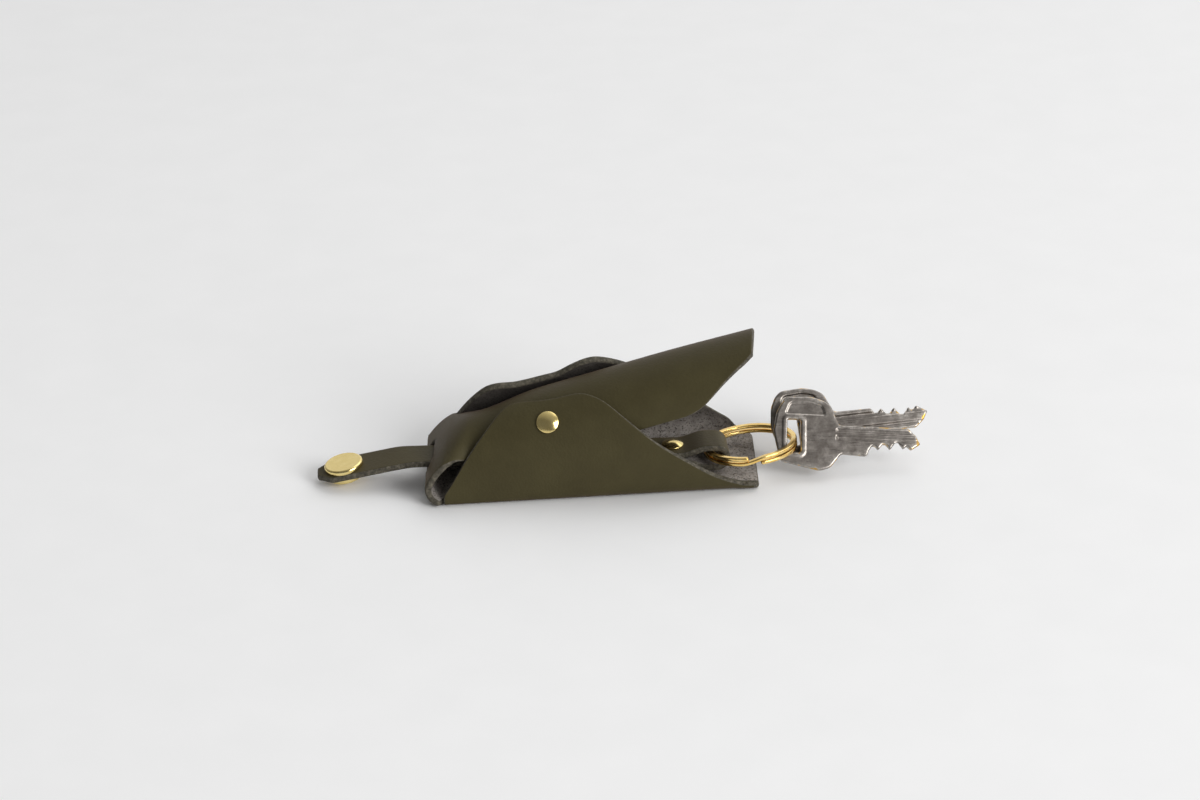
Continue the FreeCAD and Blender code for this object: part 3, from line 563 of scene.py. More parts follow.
def tongue(finishes):
    """Folded end with the strap's slot, and the flap that lies over the keys."""
    outer = tongue_grid()
    inner = under(outer, LEATHER)
    middle = (outer[:-1, :-1] + outer[1:, 1:] + inner[:-1, :-1] + inner[1:, 1:]) / 4
    keep = slot_distance(middle[..., 1], middle[..., 2])[0] > 0
    rim = torn_rim(keep)
    points, quads, kinds = solid_sheet(
        cut_to_slot(outer, rim), cut_to_slot(inner, rim), keep, EDGE_SWELL, EDGE_STEPS)
    nodes = ("end_wall", "top_flap", "top_flap_tip")
    body = ("case", "flap_tip", *FLAP_FLEX)
    return new_piece("tongue", points, quads, NO_FANS, finishes, kinds, body, nodes)


# Strap

STRAP_WAY = about("Z", STRAP_YAW)
STRAP_TURN = STRAP_WAY @ about("X", -STRAP_ROLL)
STRAP_PLACE = np.array([-CASE / 2, 0, STRAP_LEVEL])
TAB_TURN = STRAP_WAY @ about("Z", 180) @ about("Y", TAB_SLOPE)
TAB_PLACE = STRAP_PLACE + STRAP_WAY @ np.array([-FLEX_STATION, 0, STRAP_THICK / 2])
# The bend at the slot, and where the band would start to turn with the tab and where fully; nothing in
# this script turns it
FLEX_LENGTH = 10.0
TAB_FLEX = (-6.5, -10.7)
# The run inside the case ends straight, rises over the ring, and sinks back below it
STRAIGHT_END = 79.0
LOOP_RISE = 2.2
LOOP_RISE_LENGTH = 9.0
LOOP_DROP = 4.5
LOOP_SINK_LENGTH = 8.0
# The tab's clipped corners: how deep, how long, and how much of the cut is eased over a longer way
CLIP_DEPTH = 3.7
CLIP_LENGTH = 4.0
CLIP_EASED = 0.35
CLIP_EASED_LENGTH = 5.5
# The loop's rounded end, and where the strap rolls to one side
LOOP_END_ROUND = 1.4
ROLL_START = -12.0
ROLL_LENGTH = 8.0
# Fineness of the strap's grid
RUN_ROWS = 190
RISE_ROWS = 22
LOOP_ROWS = 26
RETURN_ROWS = 34
STRAP_COLUMNS = 24


def strap_line():
    """Middle line (x, z) of the strap in its own frame, from the tab's end to the loop's end.

    The tab's slope eases to nothing about the flex line, and the line is the running sum of its
    steps. The strap then runs straight, rises over the ring, turns round it in a half circle and
    comes back below.
    """
    u = np.linspace(-TAB_LENGTH + EDGE_SWELL, STRAIGHT_END + FLEX_STATION, RUN_ROWS)
    slope = math.radians(TAB_SLOPE) * (1 - eased((u + FLEX_LENGTH / 2) / FLEX_LENGTH))
    step = u[1] - u[0]
    run = np.concatenate([[0], np.cumsum((np.cos(slope[1:]) + np.cos(slope[:-1])) / 2 * step)])
    rise = np.concatenate([[0], np.cumsum((np.sin(slope[1:]) + np.sin(slope[:-1])) / 2 * step)])
    run += STRAIGHT_END - run[-1]
    rise -= rise[-1]
    over = np.linspace(STRAIGHT_END, LOOP_STATION, RISE_ROWS)[1:]
    round_it = np.linspace(math.pi / 2, -math.pi / 2, LOOP_ROWS)[1:]
    back = np.linspace(LOOP_STATION, EYE_STATION - LOOP_RETURN + EDGE_SWELL, RETURN_ROWS)[1:]
    x = np.concatenate([run, over, LOOP_STATION + LOOP_RADIUS * np.cos(round_it), back])
    z = np.concatenate([
        rise,
        LOOP_RISE * eased((over - STRAIGHT_END) / LOOP_RISE_LENGTH),
        -EYE_DROP + LOOP_RADIUS * np.sin(round_it),
        -LOOP_DROP + LOOP_RISE * eased((EYE_STATION - back) / LOOP_SINK_LENGTH),
    ])
    return x, z


def strap_band(finishes):
    """Tab, strap and loop as one band: its middle line given a width, clipped at the tab's end."""
    x, z = strap_line()
    along = np.stack([np.gradient(x), np.gradient(z)])
    along /= np.linalg.norm(along, axis=0)
    gone = np.concatenate([[0], np.cumsum(np.hypot(np.diff(x), np.diff(z)))])
    left = gone[-1] - gone
    full = STRAP_WIDE / 2 - EDGE_SWELL
    cut = 1 - eased(gone / CLIP_EASED_LENGTH) * CLIP_EASED
    cut -= np.clip(gone / CLIP_LENGTH, 0, 1) * (1 - CLIP_EASED)
    rounded = LOOP_END_ROUND * (1 - np.sqrt(np.clip(left / LOOP_END_ROUND, 0, 1)))
    half = np.minimum(full - CLIP_DEPTH * cut, full - rounded)
    across = np.linspace(-1, 1, STRAP_COLUMNS + 1)[None] * half[:, None]
    roll = np.radians(STRAP_ROLL) * eased((x - ROLL_START) / ROLL_LENGTH)[:, None]
    grids = []
    for side in (1, -1):
        run = (x - along[1] * side * STRAP_THICK / 2)[:, None] + 0 * across
        rise = (z + along[0] * side * STRAP_THICK / 2)[:, None] + 0 * across
        y = across * np.cos(roll) + rise * np.sin(roll)
        level = rise * np.cos(roll) - across * np.sin(roll)
        grids.append(put(np.stack([run, y, level], -1), STRAP_WAY, STRAP_PLACE))
    keep = np.ones((x.size - 1, STRAP_COLUMNS), bool)
    points, quads, kinds = solid_sheet(*grids, keep, EDGE_SWELL, EDGE_STEPS)
    start, end = (
        tuple(put(np.array([station, 0, 0]), STRAP_TURN, STRAP_PLACE) * MM) for station in TAB_FLEX)
    body = ("strap", "tab", start, end)
    nodes = ("strap", "strap_tab")
    return new_piece("strap_band", points, quads, NO_FANS, finishes, kinds, body, nodes)


# Rivets and press stud

# How far on each side of a rivet the wing's slope is read, and the steps of a turned piece
SEAT_STEP = 1.02
LATHE_STEPS = 64
# A rivet cap's dome, part of a ball: its radius and height, the angle drawn and where its rim begins
DOME_RADIUS = 3.42
DOME_HEIGHT = 0.95
DOME_ANGLE = math.radians(29)
DOME_STEPS = 14
DOME_END = 3.2
DOME_TOP = 1.5
# Profiles as (radius, height), and how far their corners are rounded
RIVET_RIM = ((3.25, 0.66), (3.5, 0.52), (3.5, 0.06), (3.3, 0.0), (0, 0))
RIVET_RIM_ROUND = 0.16
SNAP_CAP = (
    (0.5, 1.62), (5.1, 1.66), (5.75, 1.7), (6.25, 1.2), (6.25, 0.2), (6.0, 0.0), (2.0, 0.0),
    (2.0, -2.0), (0.5, -2.0),
)
SNAP_CAP_ROUND = 0.5
SNAP_SOCKET = (
    (0.5, 0.0), (5.3, 0.0), (5.3, 1.6), (4.1, 1.6), (3.9, 1.25), (3.4, 1.25), (3.2, 1.6),
    (2.8, 1.6), (2.8, 0.25), (0.5, 0.25),
)
SNAP_SOCKET_ROUND = 0.3


def wing_seat(side):
    """Seat of a wing rivet: point on the wing, and the normal from its slopes along and across."""
    flares = FRONT_FLARE if side < 0 else BACK_FLARE
    spots = []
    for s in (RIVET_STATION, RIVET_STATION - SEAT_STEP, RIVET_STATION + SEAT_STEP):
        flare = through(flares, s / CASE)
        radius = arch(s) + LAY_GAP + LEATHER
        slope = WING_TANGENT - (WING_TANGENT - RIVET_ANGLE) / (1 + flare)
        high = radius * (1 + flare)
        out = math.sin(WING_TANGENT) * (radius - high) + math.sin(slope) * high
        up = ridge(s) - arch(s) + math.cos(WING_TANGENT) * (radius - high) + math.cos(slope) * high
        spots.append(np.array([s - CASE / 2, side * out, up]))
        if s == RIVET_STATION:
            across = np.array([0, math.cos(slope), -side * math.sin(slope)])
    normal = np.cross(spots[2] - spots[1], across)
    return spots[0], normal / np.linalg.norm(normal)


def turned_piece(name, profile, seat, axis, finish, body, nodes):
    """A piece turned on a lathe: its rounded profile swept round its axis."""
    points, quads, fans = wound(on_seat(profile, seat, axis, LATHE_STEPS))
    return new_piece(name, points, quads, fans, [finish], None, body, nodes)


def rivet_cap_line():
    """Profile of a rivet cap: a shallow dome that rolls over its rim to a flat seat."""
    angle = np.linspace(0, DOME_ANGLE, DOME_STEPS)[1:]
    ball = (DOME_RADIUS ** 2 + DOME_HEIGHT ** 2) / (2 * DOME_HEIGHT)
    dome = np.stack([ball * np.sin(angle), DOME_TOP - ball * (1 - np.cos(angle))], -1)
    rim = softened(RIVET_RIM, RIVET_RIM_ROUND, False)
    return np.concatenate([dome[dome[:, 0] < DOME_END], rim[:-1]])


def snap_cap_line():
    """Profile of the press stud's cap: a flat face, a wide rounded rim and a shank below."""
    return softened(SNAP_CAP, SNAP_CAP_ROUND, False)


def snap_socket_line():
    """Profile of the press stud's socket: a rolled ring round a bore, with its floor above."""
    return softened(SNAP_SOCKET, SNAP_SOCKET_ROUND, False)


# Split ring

RING_TURN = STRAP_WAY @ about("Y", RING_PITCH) @ about("X", RING_ROLL)
EYE = put(np.array([EYE_STATION, 0, -EYE_DROP]), STRAP_TURN, STRAP_PLACE)
RING_PLACE = EYE + RING_TURN @ np.array([RING_MIDDLE, 0, 0])
# The wire's course round the ring, in degrees, with its crossing from one turn to the other
RING_START = -82.0
RING_END = 622.0
RING_ROWS = 421
CROSSING_START = 252.0
CROSSING_LENGTH = 36.0
# The wire's rounded section, and its ends, which narrow by a share over a short way
WIRE_ROUND = 0.42
WIRE_END_SHARE = 0.3
WIRE_END_LENGTH = 0.5


def split_ring(finish):
    """Two turns of flat wire with rounded edges.

    The wire's section, a rounded rectangle, goes nearly twice round a circle. Its level is that of
    the lower turn, then eases to the upper one at the front.
    """
    wide = WIRE_WIDE / 2
    tall = WIRE_TALL / 2
    section = softened([(-wide, -tall), (wide, -tall), (wide, tall), (-wide, tall)], WIRE_ROUND, True)
    degrees = np.linspace(RING_START, RING_END, RING_ROWS)
    level = TURN_LEVEL * (2 * eased((degrees - CROSSING_START) / CROSSING_LENGTH) - 1)
    end = np.radians(np.minimum(degrees - RING_START, RING_END - degrees)) * RING_MIDDLE
    size = 1 - WIRE_END_SHARE * (1 - np.sqrt(np.clip(end / WIRE_END_LENGTH, 0, 1)))
    angle = np.radians(degrees)
    out = RING_MIDDLE + section[None, :, 0] * size[:, None]
    rise = level[:, None] + section[None, :, 1] * size[:, None]
    turns = np.stack([
        out * np.cos(angle)[:, None], out * np.sin(angle)[:, None], rise + 0 * out], -1)
    points, quads, fans = wound(put(turns, RING_TURN, RING_PLACE))
    nodes = ("split_ring",)
    return new_piece("ring_wire", points, quads, fans, [finish], None, "ring", nodes)


# Keys

# Corners of the outline, and the step of the grid
HEAD_ROUND = 1.1
CUT_ROUND = 0.35
KEY_STEP = 0.24
# Border points move onto the outline in rounds, along slopes read over a probe's length
KEY_ROUNDS = 3
KEY_PROBE = 0.02
LEAST_SLOPE = 0.3
# Relief of a face: its rounded edge, the sunk panel, the ring hole's border, and the blade
FACE_ROUND = 0.4
PANEL_ROUND = 1.2
PANEL_DEPTH = 0.38
PANEL_LINE = 0.1
PANEL_SLOPE = 0.5
BORDER_WIDE = 1.7
BORDER_RISE = 0.16
BORDER_SLOPE = 0.35
BLADE_START = 0.56
BLADE_SLOPE = 0.8
# Grooves as (place across on the cuts' side, shift, half width, depth)
GROOVES = ((0.95, 0.8, 0.8, 0.5), (-2.3, 0.0, 0.55, 0.3))
GROOVE_SLOPE = 0.5
# Wear: its reach from an edge, and its strength and reach on the panel's line, the border and the tip
EDGE_WEAR_REACH = 0.9
PANEL_WEAR = 0.75
PANEL_WEAR_REACH = 0.3
BORDER_WEAR = 0.45
BORDER_WEAR_REACH = 0.5
TIP_WEAR = 0.25


def inside(points, outline):
    """Distance in from a closed outline, negative outside: the nearest side, signed by crossings."""
    a = outline
    b = np.roll(outline, -1, 0)
    side = b - a
    from_a = points[:, None] - a[None]
    t = np.clip((from_a * side).sum(-1) / (side * side).sum(-1), 0, 1)
    near = np.linalg.norm(from_a - side * t[..., None], axis=-1).min(1)
    x, y = points[:, :1], points[:, 1:]
    rise = np.where(side[:, 1] == 0, 1, side[:, 1])
    crossed = ((a[:, 1] > y) != (b[:, 1] > y)) & (x < side[:, 0] * (y - a[:, 1]) / rise + a[:, 0])
    return np.where(crossed.sum(1) % 2 == 1, near, -near)


def key_outline(length, side):
    """Outline of a key: the head's line, then the blade's cuts, below (side -1) or above (side 1)."""
    head = np.array(KEY_HEAD_LINE) * KEY_HEAD
    cuts = np.array(KEY_CUT_LINE) * [length, KEY_BLADE]
    if side > 0:
        head[-1] = [head[-2, 0], -KEY_BLADE / 2]
        cuts = cuts[::-1] * [1, -1]
    reach = np.repeat([HEAD_ROUND, CUT_ROUND], [len(head), len(cuts)])
    return softened(np.concatenate([head, cuts]), reach, True)


def hole_depth(points):
    """Distance into the ring hole, a rectangle with rounded corners."""
    over = np.abs(points) - HOLE_HALF
    return HOLE_CORNER - np.linalg.norm(np.maximum(over, 0), axis=1) - np.minimum(over.max(1), 0)


def key_depth(points, outline):
    """Distance in from a key's nearest edge, the outline's or the ring hole's."""
    return np.minimum(inside(points, outline), -hole_depth(points))


def key_relief(points, depth, length, side):
    """Height of a key's face over its middle plane, and how worn it is, from 0 to a half.

    The edge is a quarter round. The head's panel is sunk with sloped sides, the ring hole has a raised
    border, and two grooves run along the blade. Wear fades from the edges, the panel's line and the
    border, and grows towards the tip.
    """
    edge = FACE_ROUND - np.clip(depth, 0, FACE_ROUND)
    height = KEY_HALF_THICK - (FACE_ROUND - np.sqrt(np.maximum(FACE_ROUND ** 2 - edge ** 2, 0)))
    panel = inside(points, softened(np.array(KEY_PANEL_LINE) * KEY_HEAD, PANEL_ROUND, True))
    height = height - PANEL_DEPTH * eased((panel + PANEL_LINE) / PANEL_SLOPE)
    border = BORDER_WIDE + hole_depth(points)
    height = height + BORDER_RISE * eased(border / BORDER_SLOPE) - BORDER_RISE
    blade = eased((points[:, 0] - BLADE_START * KEY_HEAD) / BLADE_SLOPE)
    for place, shift, wide, deep in GROOVES:
        lane = np.abs(points[:, 1] - (place * side + shift)) - wide
        height = height - deep * blade * eased((GROOVE_SLOPE / 2 - lane) / GROOVE_SLOPE)
    rub = np.exp(-np.clip(depth, 0, None) / EDGE_WEAR_REACH)
    rub = np.maximum(rub, PANEL_WEAR * np.exp(-((panel - PANEL_LINE) / PANEL_WEAR_REACH) ** 2))
    rub = np.maximum(rub, BORDER_WEAR * eased(border / BORDER_WEAR_REACH))
    half_way = length / 2
    tip = eased((points[:, 0] - half_way) / half_way)
    return height, np.clip(rub + TIP_WEAR * tip, 0, 1) / 2


def key(name, length, side, around, yaw, drop, finish, body):
    """A cylinder key as a fine grid over its outline, its border points moved onto the outline.

    It hangs on the ring at an angle around it, in degrees as its yaw and drop are.
    """
    outline = key_outline(length, side)
    low = outline.min(0) - KEY_STEP
    counts = np.ceil((outline.max(0) + KEY_STEP - low) / KEY_STEP).astype(int)
    xs, ys = (low[i] + KEY_STEP * np.arange(counts[i] + 1) for i in (0, 1))
    flat = np.stack(np.meshgrid(xs, ys, indexing="ij"), -1)
    middle = (flat[:-1, :-1] + flat[1:, 1:]) / 2
    keep = key_depth(middle.reshape(-1, 2), outline).reshape(middle.shape[:2]) > 0
    rim = torn_rim(keep)
    edge = flat[rim]
    for again in range(KEY_ROUNDS):
        off = key_depth(edge, outline)[:, None]
        slope = np.stack([
            key_depth(edge + way, outline) - key_depth(edge - way, outline)
            for way in (np.array([KEY_PROBE, 0]), np.array([0, KEY_PROBE]))], -1) / (2 * KEY_PROBE)
        edge = edge - off * slope / np.maximum((slope ** 2).sum(1, keepdims=True), LEAST_SLOPE)
    flat[rim] = edge
    points = flat.reshape(-1, 2)
    depth = np.where(rim.ravel(), 0, key_depth(points, outline))
    height, rub = key_relief(points, depth, length, side)
    round_it = math.radians(around)
    spot = RING_MIDDLE * np.array([math.cos(round_it), math.sin(round_it), 0])
    turn = about("Z", yaw + STRAP_YAW) @ about("Y", drop) @ about("X", KEY_TILT)
    spot = put(spot, RING_TURN, RING_PLACE) + turn @ np.array([0, KEY_LIFT, 0])
    faces = [np.column_stack([points, height * sign]) for sign in (1, -1)]
    grids = [put(face, turn, spot).reshape(flat.shape[:2] + (3,)) for face in faces]
    points, quads, kinds = solid_sheet(*grids, keep, 0, 1)
    used = np.unique(grid_cells(flat.shape)[keep])
    label = name + "_plate"
    piece = new_piece(label, points, quads, NO_FANS, [finish], None, body, (name,))
    worn = piece.data.attributes.new("worn", "FLOAT", "POINT")
    worn.data.foreach_set("value", np.tile(rub[used], 2))
    return piece


# Finishes

BUMP = "ShaderNodeBump"
MATH = "ShaderNodeMath"
MIX = "ShaderNodeMix"
NOISE = "ShaderNodeTexNoise"
RAMP = "ShaderNodeValToRGB"
RANGE = "ShaderNodeMapRange"


def colour(code):
    """Linear colour from an sRGB hex value."""
    parts = np.array([int(code[i:i + 2], 16) for i in (1, 3, 5)]) / 255
    linear = np.where(parts <= 0.04045, parts / 12.92, ((parts + 0.055) / 1.055) ** 2.4)
    return (*linear.tolist(), 1.0)


def add(tree, kind, sockets, stops=(), **settings):
    """Adds a node with its settings; a socket takes a constant or another node's output.

    Stops are the (place, sRGB hex) marks of a colour ramp, in rising order.
    """
    node = tree.nodes.new(kind)
    for i, (at, code) in enumerate(stops):
        marks = node.color_ramp.elements
        mark = marks[i] if i < 2 else marks.new(at)
        mark.position = at
        mark.color = colour(code)
    for name, value in settings.items():
        setattr(node, name, value)
    for name, value in sockets.items():
        if isinstance(value, bpy.types.NodeSocket):
            tree.links.new(value, node.inputs[name])
        else:
            node.inputs[name].default_value = value
    return node


def new_finish(name):
    """An empty material: its tree, its shader and the place on the object in metres."""
    finish = bpy.data.materials.new(name)
    finish.use_nodes = True
    tree = finish.node_tree
    shader = tree.nodes["Principled BSDF"]
    place = tree.nodes.new("ShaderNodeTexCoord").outputs["Object"]
    return finish, tree, shader, place


def leather_grain():
    """Vegetable-tanned cowhide, dyed dark olive and waxed: soft sheen, cloudy dye and fine pebble."""
    finish, tree, shader, place = new_finish("waxed_cowhide_grain")
    # Cloudy dye, patches of 11 mm
    cloud = add(tree, NOISE, {"Vector": place, "Scale": 1 / (11 * MM), "Detail": 4.0, "Roughness": 0.6})
    dye = add(tree, RAMP, {"Fac": cloud.outputs["Fac"]}, stops=(
        (0.25, "#413b24"), (0.5, "#453f27"), (0.75, "#49432a")))
    # Pebble of 0.9 mm, about twice the real one so that it shows
    pebble = add(tree, "ShaderNodeTexVoronoi", {
        "Vector": place, "Scale": 1 / (0.9 * MM), "Randomness": 1.0})
    pore = add(tree, NOISE, {"Vector": place, "Scale": 1 / (0.6 * MM), "Detail": 3.0})
    relief = {0: pebble.outputs["Distance"], 1: pore.outputs["Fac"]}
    mixed = add(tree, MATH, relief, operation="ADD")
    bump = add(tree, BUMP, {"Height": mixed.outputs[0], "Strength": 0.22, "Distance": 0.2 * MM})
    shine = add(tree, RANGE, {"Value": cloud.outputs["Fac"], "To Min": 0.5, "To Max": 0.66})
    shader.inputs["Specular IOR Level"].default_value = 0.16
    # A faint warm haze of wax where the leather is seen at a slant
    shader.inputs["Sheen Weight"].default_value = 0.08
    shader.inputs["Sheen Roughness"].default_value = 0.4
    shader.inputs["Sheen Tint"].default_value = colour("#ffd6d2")
    tree.links.new(dye.outputs["Color"], shader.inputs["Base Color"])
    tree.links.new(shine.outputs["Result"], shader.inputs["Roughness"])
    tree.links.new(bump.outputs["Normal"], shader.inputs["Normal"])
    return finish


def leather_flesh():
    """Flesh side of the hide: grey nap with dark specks of dye, and painted shade that darkens it up the
    folded sides.
    """
    finish, tree, shader, place = new_finish("cowhide_flesh_nap")
    # Nap in tufts of 3.5 mm
    nap = add(tree, NOISE, {"Vector": place, "Scale": 1 / (3.5 * MM), "Detail": 5.0, "Roughness": 0.7})
    grey = add(tree, RAMP, {"Fac": nap.outputs["Fac"]}, stops=(
        (0.3, "#7a736d"), (0.5, "#96908a"), (0.7, "#aca59e")))
    # Specks 0.6 mm across
    speck = add(tree, NOISE, {"Vector": place, "Scale": 1 / (0.6 * MM), "Detail": 2.0, "Roughness": 0.6})
    spot = add(tree, RANGE, {"Value": speck.outputs["Fac"], "From Min": 0.52, "From Max": 0.68})
    tones = {0: spot.outputs["Result"], 6: grey.outputs["Color"], 7: colour("#48423d")}
    nap_tone = add(tree, MIX, tones, data_type="RGBA")
    # Dye has run in on the sides that stand up, fully so from 9 mm above the table
    # Painted shade: the nap darkens with height over the table, fully so from 9 mm up, for the shade on
    # the folded sides that stand up
    rise = add(tree, "ShaderNodeSeparateXYZ", {0: place})
    painted_height_shade = add(tree, RANGE, {
        "Value": rise.outputs["Z"], "From Min": 2.2 * MM, "From Max": 9 * MM, "To Max": 0.8})
    # The dark colour that the painted shade mixes into the nap
    tones = {0: painted_height_shade.outputs["Result"], 6: nap_tone.outputs[2], 7: colour("#37322e")}
    base = add(tree, MIX, tones, data_type="RGBA")
    bump = add(tree, BUMP, {"Height": speck.outputs["Fac"], "Strength": 0.4, "Distance": 0.4 * MM})
    tree.links.new(base.outputs[2], shader.inputs["Base Color"])
    tree.links.new(bump.outputs["Normal"], shader.inputs["Normal"])
    shader.inputs["Roughness"].default_value = 0.95
    shader.inputs["Specular IOR Level"].default_value = 0.2
    return finish


def leather_edge():
    """Raw cut edge of the hide: speckled, fibrous and dull."""
    finish, tree, shader, place = new_finish("cowhide_cut_edge")
    # Fibres 1.2 mm across, drawn coarser than real ones so that they show
    fibre = add(tree, NOISE, {"Vector": place, "Scale": 1 / (1.2 * MM), "Detail": 5.0, "Roughness": 0.75})
    tone = add(tree, RAMP, {"Fac": fibre.outputs["Fac"]}, stops=(
        (0.32, "#2e2a21"), (0.5, "#4c473b"), (0.68, "#6f695b")))
    bump = add(tree, BUMP, {"Height": fibre.outputs["Fac"], "Strength": 0.5, "Distance": 0.3 * MM})
    tree.links.new(tone.outputs["Color"], shader.inputs["Base Color"])
    tree.links.new(bump.outputs["Normal"], shader.inputs["Normal"])
    shader.inputs["Roughness"].default_value = 0.8
    return finish


def cap_brass():
    """Pale polished brass of the caps: mirror bright, with faint handling smears."""
    finish, tree, shader, place = new_finish("polished_pale_brass")
    # Smears of 4 mm
    smear = add(tree, NOISE, {"Vector": place, "Scale": 1 / (4 * MM), "Detail": 4.0, "Roughness": 0.65})
    tone = add(tree, RAMP, {"Fac": smear.outputs["Fac"]}, stops=(
        (0.3, "#e6ce88"), (0.55, "#ecd692"), (0.75, "#f1de9f")))
    shine = add(tree, RANGE, {"Value": smear.outputs["Fac"], "To Min": 0.14, "To Max": 0.26})
    tree.links.new(tone.outputs["Color"], shader.inputs["Base Color"])
    tree.links.new(shine.outputs["Result"], shader.inputs["Roughness"])
    shader.inputs["Metallic"].default_value = 1.0
    return finish


def ring_brass():
    """Warm gold plating of the split ring: bright, rubbed a little duller in streaks."""
    finish, tree, shader, place = new_finish("warm_gold_plated_wire")
    # Rubbed places of 3 mm
    rub = add(tree, NOISE, {"Vector": place, "Scale": 1 / (3 * MM), "Detail": 5.0, "Roughness": 0.7})
    tone = add(tree, RAMP, {"Fac": rub.outputs["Fac"]}, stops=(
        (0.3, "#ecc067"), (0.5, "#f5d180"), (0.72, "#fbe2a4")))
    shine = add(tree, RANGE, {"Value": rub.outputs["Fac"], "To Min": 0.1, "To Max": 0.28})
    tree.links.new(tone.outputs["Color"], shader.inputs["Base Color"])
    tree.links.new(shine.outputs["Result"], shader.inputs["Roughness"])
    shader.inputs["Metallic"].default_value = 1.0
    return finish


def key_nickel():
    """Nickel plate worn through to brass on its edges: satin grey, scratched, gold where rubbed."""
    finish, tree, shader, place = new_finish("worn_nickel_on_brass")
    worn = add(tree, "ShaderNodeAttribute", {}, attribute_name="worn")
    # Patches of 2.8 mm in which the plate has worn further
    patch = add(tree, NOISE, {"Vector": place, "Scale": 1 / (2.8 * MM), "Detail": 5.0, "Roughness": 0.7})
    spread = add(tree, RANGE, {
        "Value": patch.outputs["Fac"], "From Min": 0.35, "From Max": 0.65, "To Max": 0.5})
    both = add(tree, MATH, {0: spread.outputs["Result"], 1: worn.outputs["Fac"]}, operation="ADD")
    tone = add(tree, RAMP, {"Fac": both.outputs[0]}, stops=(
        (0.0, "#68625d"), (0.25, "#7a746e"), (0.5, "#8e8882"),
        (0.72, "#b0aaa3"), (0.79, "#b8b1a7"), (0.83, "#c79e50")))
    # Scratches 0.4 mm wide and 8 mm long, drawn coarser than real ones so that they show
    long_way = add(tree, "ShaderNodeMapping", {
        "Vector": place, "Rotation": (0.3, 0.1, 0.5), "Scale": (120.0, 2600.0, 2600.0)})
    scratch = add(tree, NOISE, {
        "Vector": long_way.outputs[0], "Scale": 1.0, "Detail": 3.0, "Roughness": 0.7})
    bump = add(tree, BUMP, {"Height": scratch.outputs["Fac"], "Strength": 0.05, "Distance": 0.1 * MM})
    shine = add(tree, RANGE, {
        "Value": scratch.outputs["Fac"], "From Min": 0.3, "From Max": 0.7,
        "To Min": 0.26, "To Max": 0.4})
    tree.links.new(tone.outputs["Color"], shader.inputs["Base Color"])
    tree.links.new(shine.outputs["Result"], shader.inputs["Roughness"])
    tree.links.new(bump.outputs["Normal"], shader.inputs["Normal"])
    shader.inputs["Metallic"].default_value = 1.0
    return finish


def studio_floor():
    """Matt white paper sweep, even and clean."""
    finish, tree, shader, place = new_finish("pale_paper_sweep")
    # Cloudy tone of 20 mm, barely seen
    tooth = add(tree, NOISE, {"Vector": place, "Scale": 1 / (20 * MM), "Detail": 3.0})
    tone = add(tree, RAMP, {"Fac": tooth.outputs["Fac"]}, stops=((0.3, "#fafafa"), (0.7, "#fcfcfc")))
    tree.links.new(tone.outputs["Color"], shader.inputs["Base Color"])
    shader.inputs["Roughness"].default_value = 0.9
    shader.inputs["Specular IOR Level"].default_value = 0.1
    return finish


# Making

hide = [leather_grain(), leather_flesh(), leather_edge()]
pale_brass = cap_brass()
warm_brass = ring_brass()
worn_nickel = key_nickel()

case_blank(hide)
tongue(hide)
strap_band(hide)
for label, side in (("front_rivet_cap", -1), ("back_rivet_cap", 1)):
    seat, normal = wing_seat(side)
    turned_piece(label + "_dome", rivet_cap_line(), seat, normal, pale_brass, "case", (label,))
strap_up = STRAP_TURN @ np.array([0, 0, 1])
loop_seat = put(np.array([LOOP_RIVET_STATION, 0, STRAP_THICK / 2]), STRAP_TURN, STRAP_PLACE)
turned_piece("loop_rivet_cap_dome", rivet_cap_line(), loop_seat, strap_up, pale_brass,
             "strap", ("loop_rivet_cap",))
tab_up = TAB_TURN @ np.array([0, 0, 1])
snap_seat = put(np.array([SNAP_STATION, 0, 0]), TAB_TURN, TAB_PLACE)
turned_piece("snap_cap_face", snap_cap_line(), snap_seat, tab_up, pale_brass, "tab", ("snap_cap",))
socket_seat = snap_seat - tab_up * STRAP_THICK
turned_piece("snap_socket_ring", snap_socket_line(), socket_seat, -tab_up, pale_brass,
             "tab", ("snap_socket",))
split_ring(warm_brass)
key("key_front", length=41.0, side=-1, around=-15.0, yaw=0.0, drop=5.0,
    finish=worn_nickel, body="front_key")
key("key_rear", length=45.0, side=1, around=9.0, yaw=6.0, drop=-2.0,
    finish=worn_nickel, body="rear_key")
for label in ("front_rivet_post", "back_rivet_post", "loop_rivet_post", "snap_stud", "snap_stud_post"):
    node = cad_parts[label]
    node.data.materials.clear()
    node.data.materials.append(pale_brass)


# Studio, in metres

FLOOR_REACH = 6.0
# Just below the case, so that no two faces share a plane
FLOOR_LEVEL = -0.0002
# The photograph's line of sight, its lens in millimetres, and the shift of the case from the middle of
# a picture 1200 wide
VIEW_LEFT = math.radians(-6.3)
VIEW_DOWN = math.radians(29)
VIEW_MIDDLE = (-0.001, 0, 0)
LENS = 93.6
SENSOR = 36
SHIFT_ACROSS = 12.5 / 1200
SHIFT_UP = 70.2 / 1200


def floor():
    """A square sheet of paper, large enough to fill every view."""
    mesh = bpy.data.meshes.new("paper_sweep")
    corners = [(x * FLOOR_REACH, y * FLOOR_REACH, 0) for x, y in ((-1, -1), (1, -1), (1, 1), (-1, 1))]
    mesh.from_pydata(corners, [], [(0, 1, 2, 3)])
    mesh.materials.append(studio_floor())
    sheet = bpy.data.objects.new("paper_sweep", mesh)
    sheet.location.z = FLOOR_LEVEL
    bpy.context.scene.collection.objects.link(sheet)


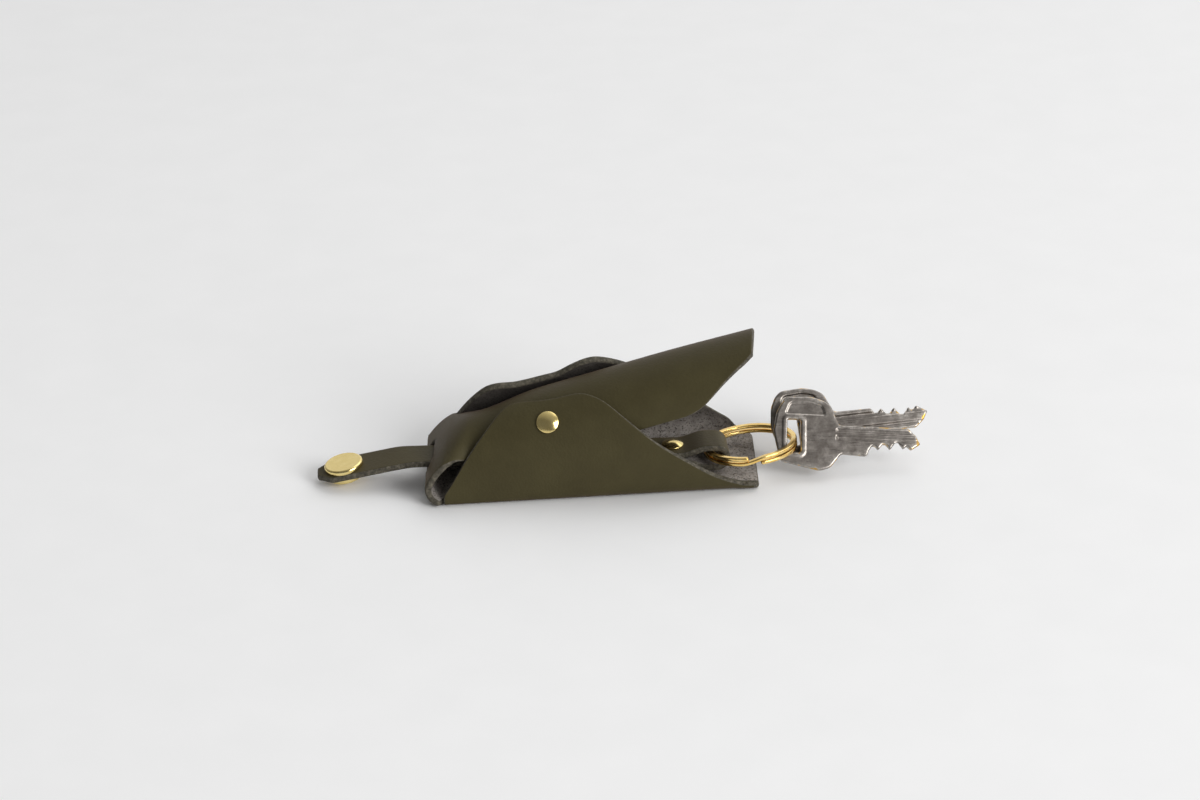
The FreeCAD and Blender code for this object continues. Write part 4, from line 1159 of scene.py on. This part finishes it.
def soft_box(name, place, wide, power):
    """A square lamp that faces the case."""
    lamp = bpy.data.lights.new(name, "AREA")
    lamp.size = wide
    lamp.energy = power
    holder = bpy.data.objects.new(name, lamp)
    holder.location = place
    holder.rotation_euler = (-Vector(place)).to_track_quat("-Z", "Y").to_euler()
    bpy.context.scene.collection.objects.link(holder)


def sky():
    """Soft light, bright behind the case and dark in front and on the left, for metal to show."""
    world = bpy.data.worlds.new("studio_light")
    world.use_nodes = True
    bpy.context.scene.world = world
    tree = world.node_tree
    way = tree.nodes.new("ShaderNodeTexCoord").outputs["Generated"]
    towards = {0: way, 1: (0.26, 0.37, 0.25)}
    bright = add(tree, "ShaderNodeVectorMath", towards, operation="DOT_PRODUCT")
    share = add(tree, RANGE, {"Value": bright.outputs["Value"], "From Min": -0.5, "From Max": 0.5})
    tone = add(tree, RAMP, {"Fac": share.outputs["Result"]}, stops=(
        (0.0, "#747474"), (0.44, "#707070"), (0.75, "#b4b4b4"), (0.95, "#f6f6f6")))
    tree.links.new(tone.outputs["Color"], tree.nodes["Background"].inputs["Color"])
    tree.nodes["Background"].inputs["Strength"].default_value = 0.98


def camera():
    """The photograph's view, from a metre away."""
    lens = bpy.data.cameras.new("view")
    lens.lens = LENS
    lens.sensor_width = SENSOR
    lens.shift_x = SHIFT_ACROSS
    lens.shift_y = SHIFT_UP
    level = math.cos(VIEW_DOWN)
    back = Vector((math.sin(VIEW_LEFT) * level, -math.cos(VIEW_LEFT) * level, math.sin(VIEW_DOWN)))
    holder = bpy.data.objects.new("view", lens)
    holder.location = Vector(VIEW_MIDDLE) + back
    holder.rotation_euler = back.to_track_quat("Z", "Y").to_euler()
    bpy.context.scene.collection.objects.link(holder)
    bpy.context.scene.camera = holder


floor()
sky()
soft_box("top_soft_box", place=(0.8, 0.7, 1.5), wide=1.4, power=5.5)
soft_box("front_soft_box", place=(2.0, -2.1, 1.35), wide=1.8, power=76.0)
camera()
bpy.context.scene.view_settings.view_transform = "Standard"
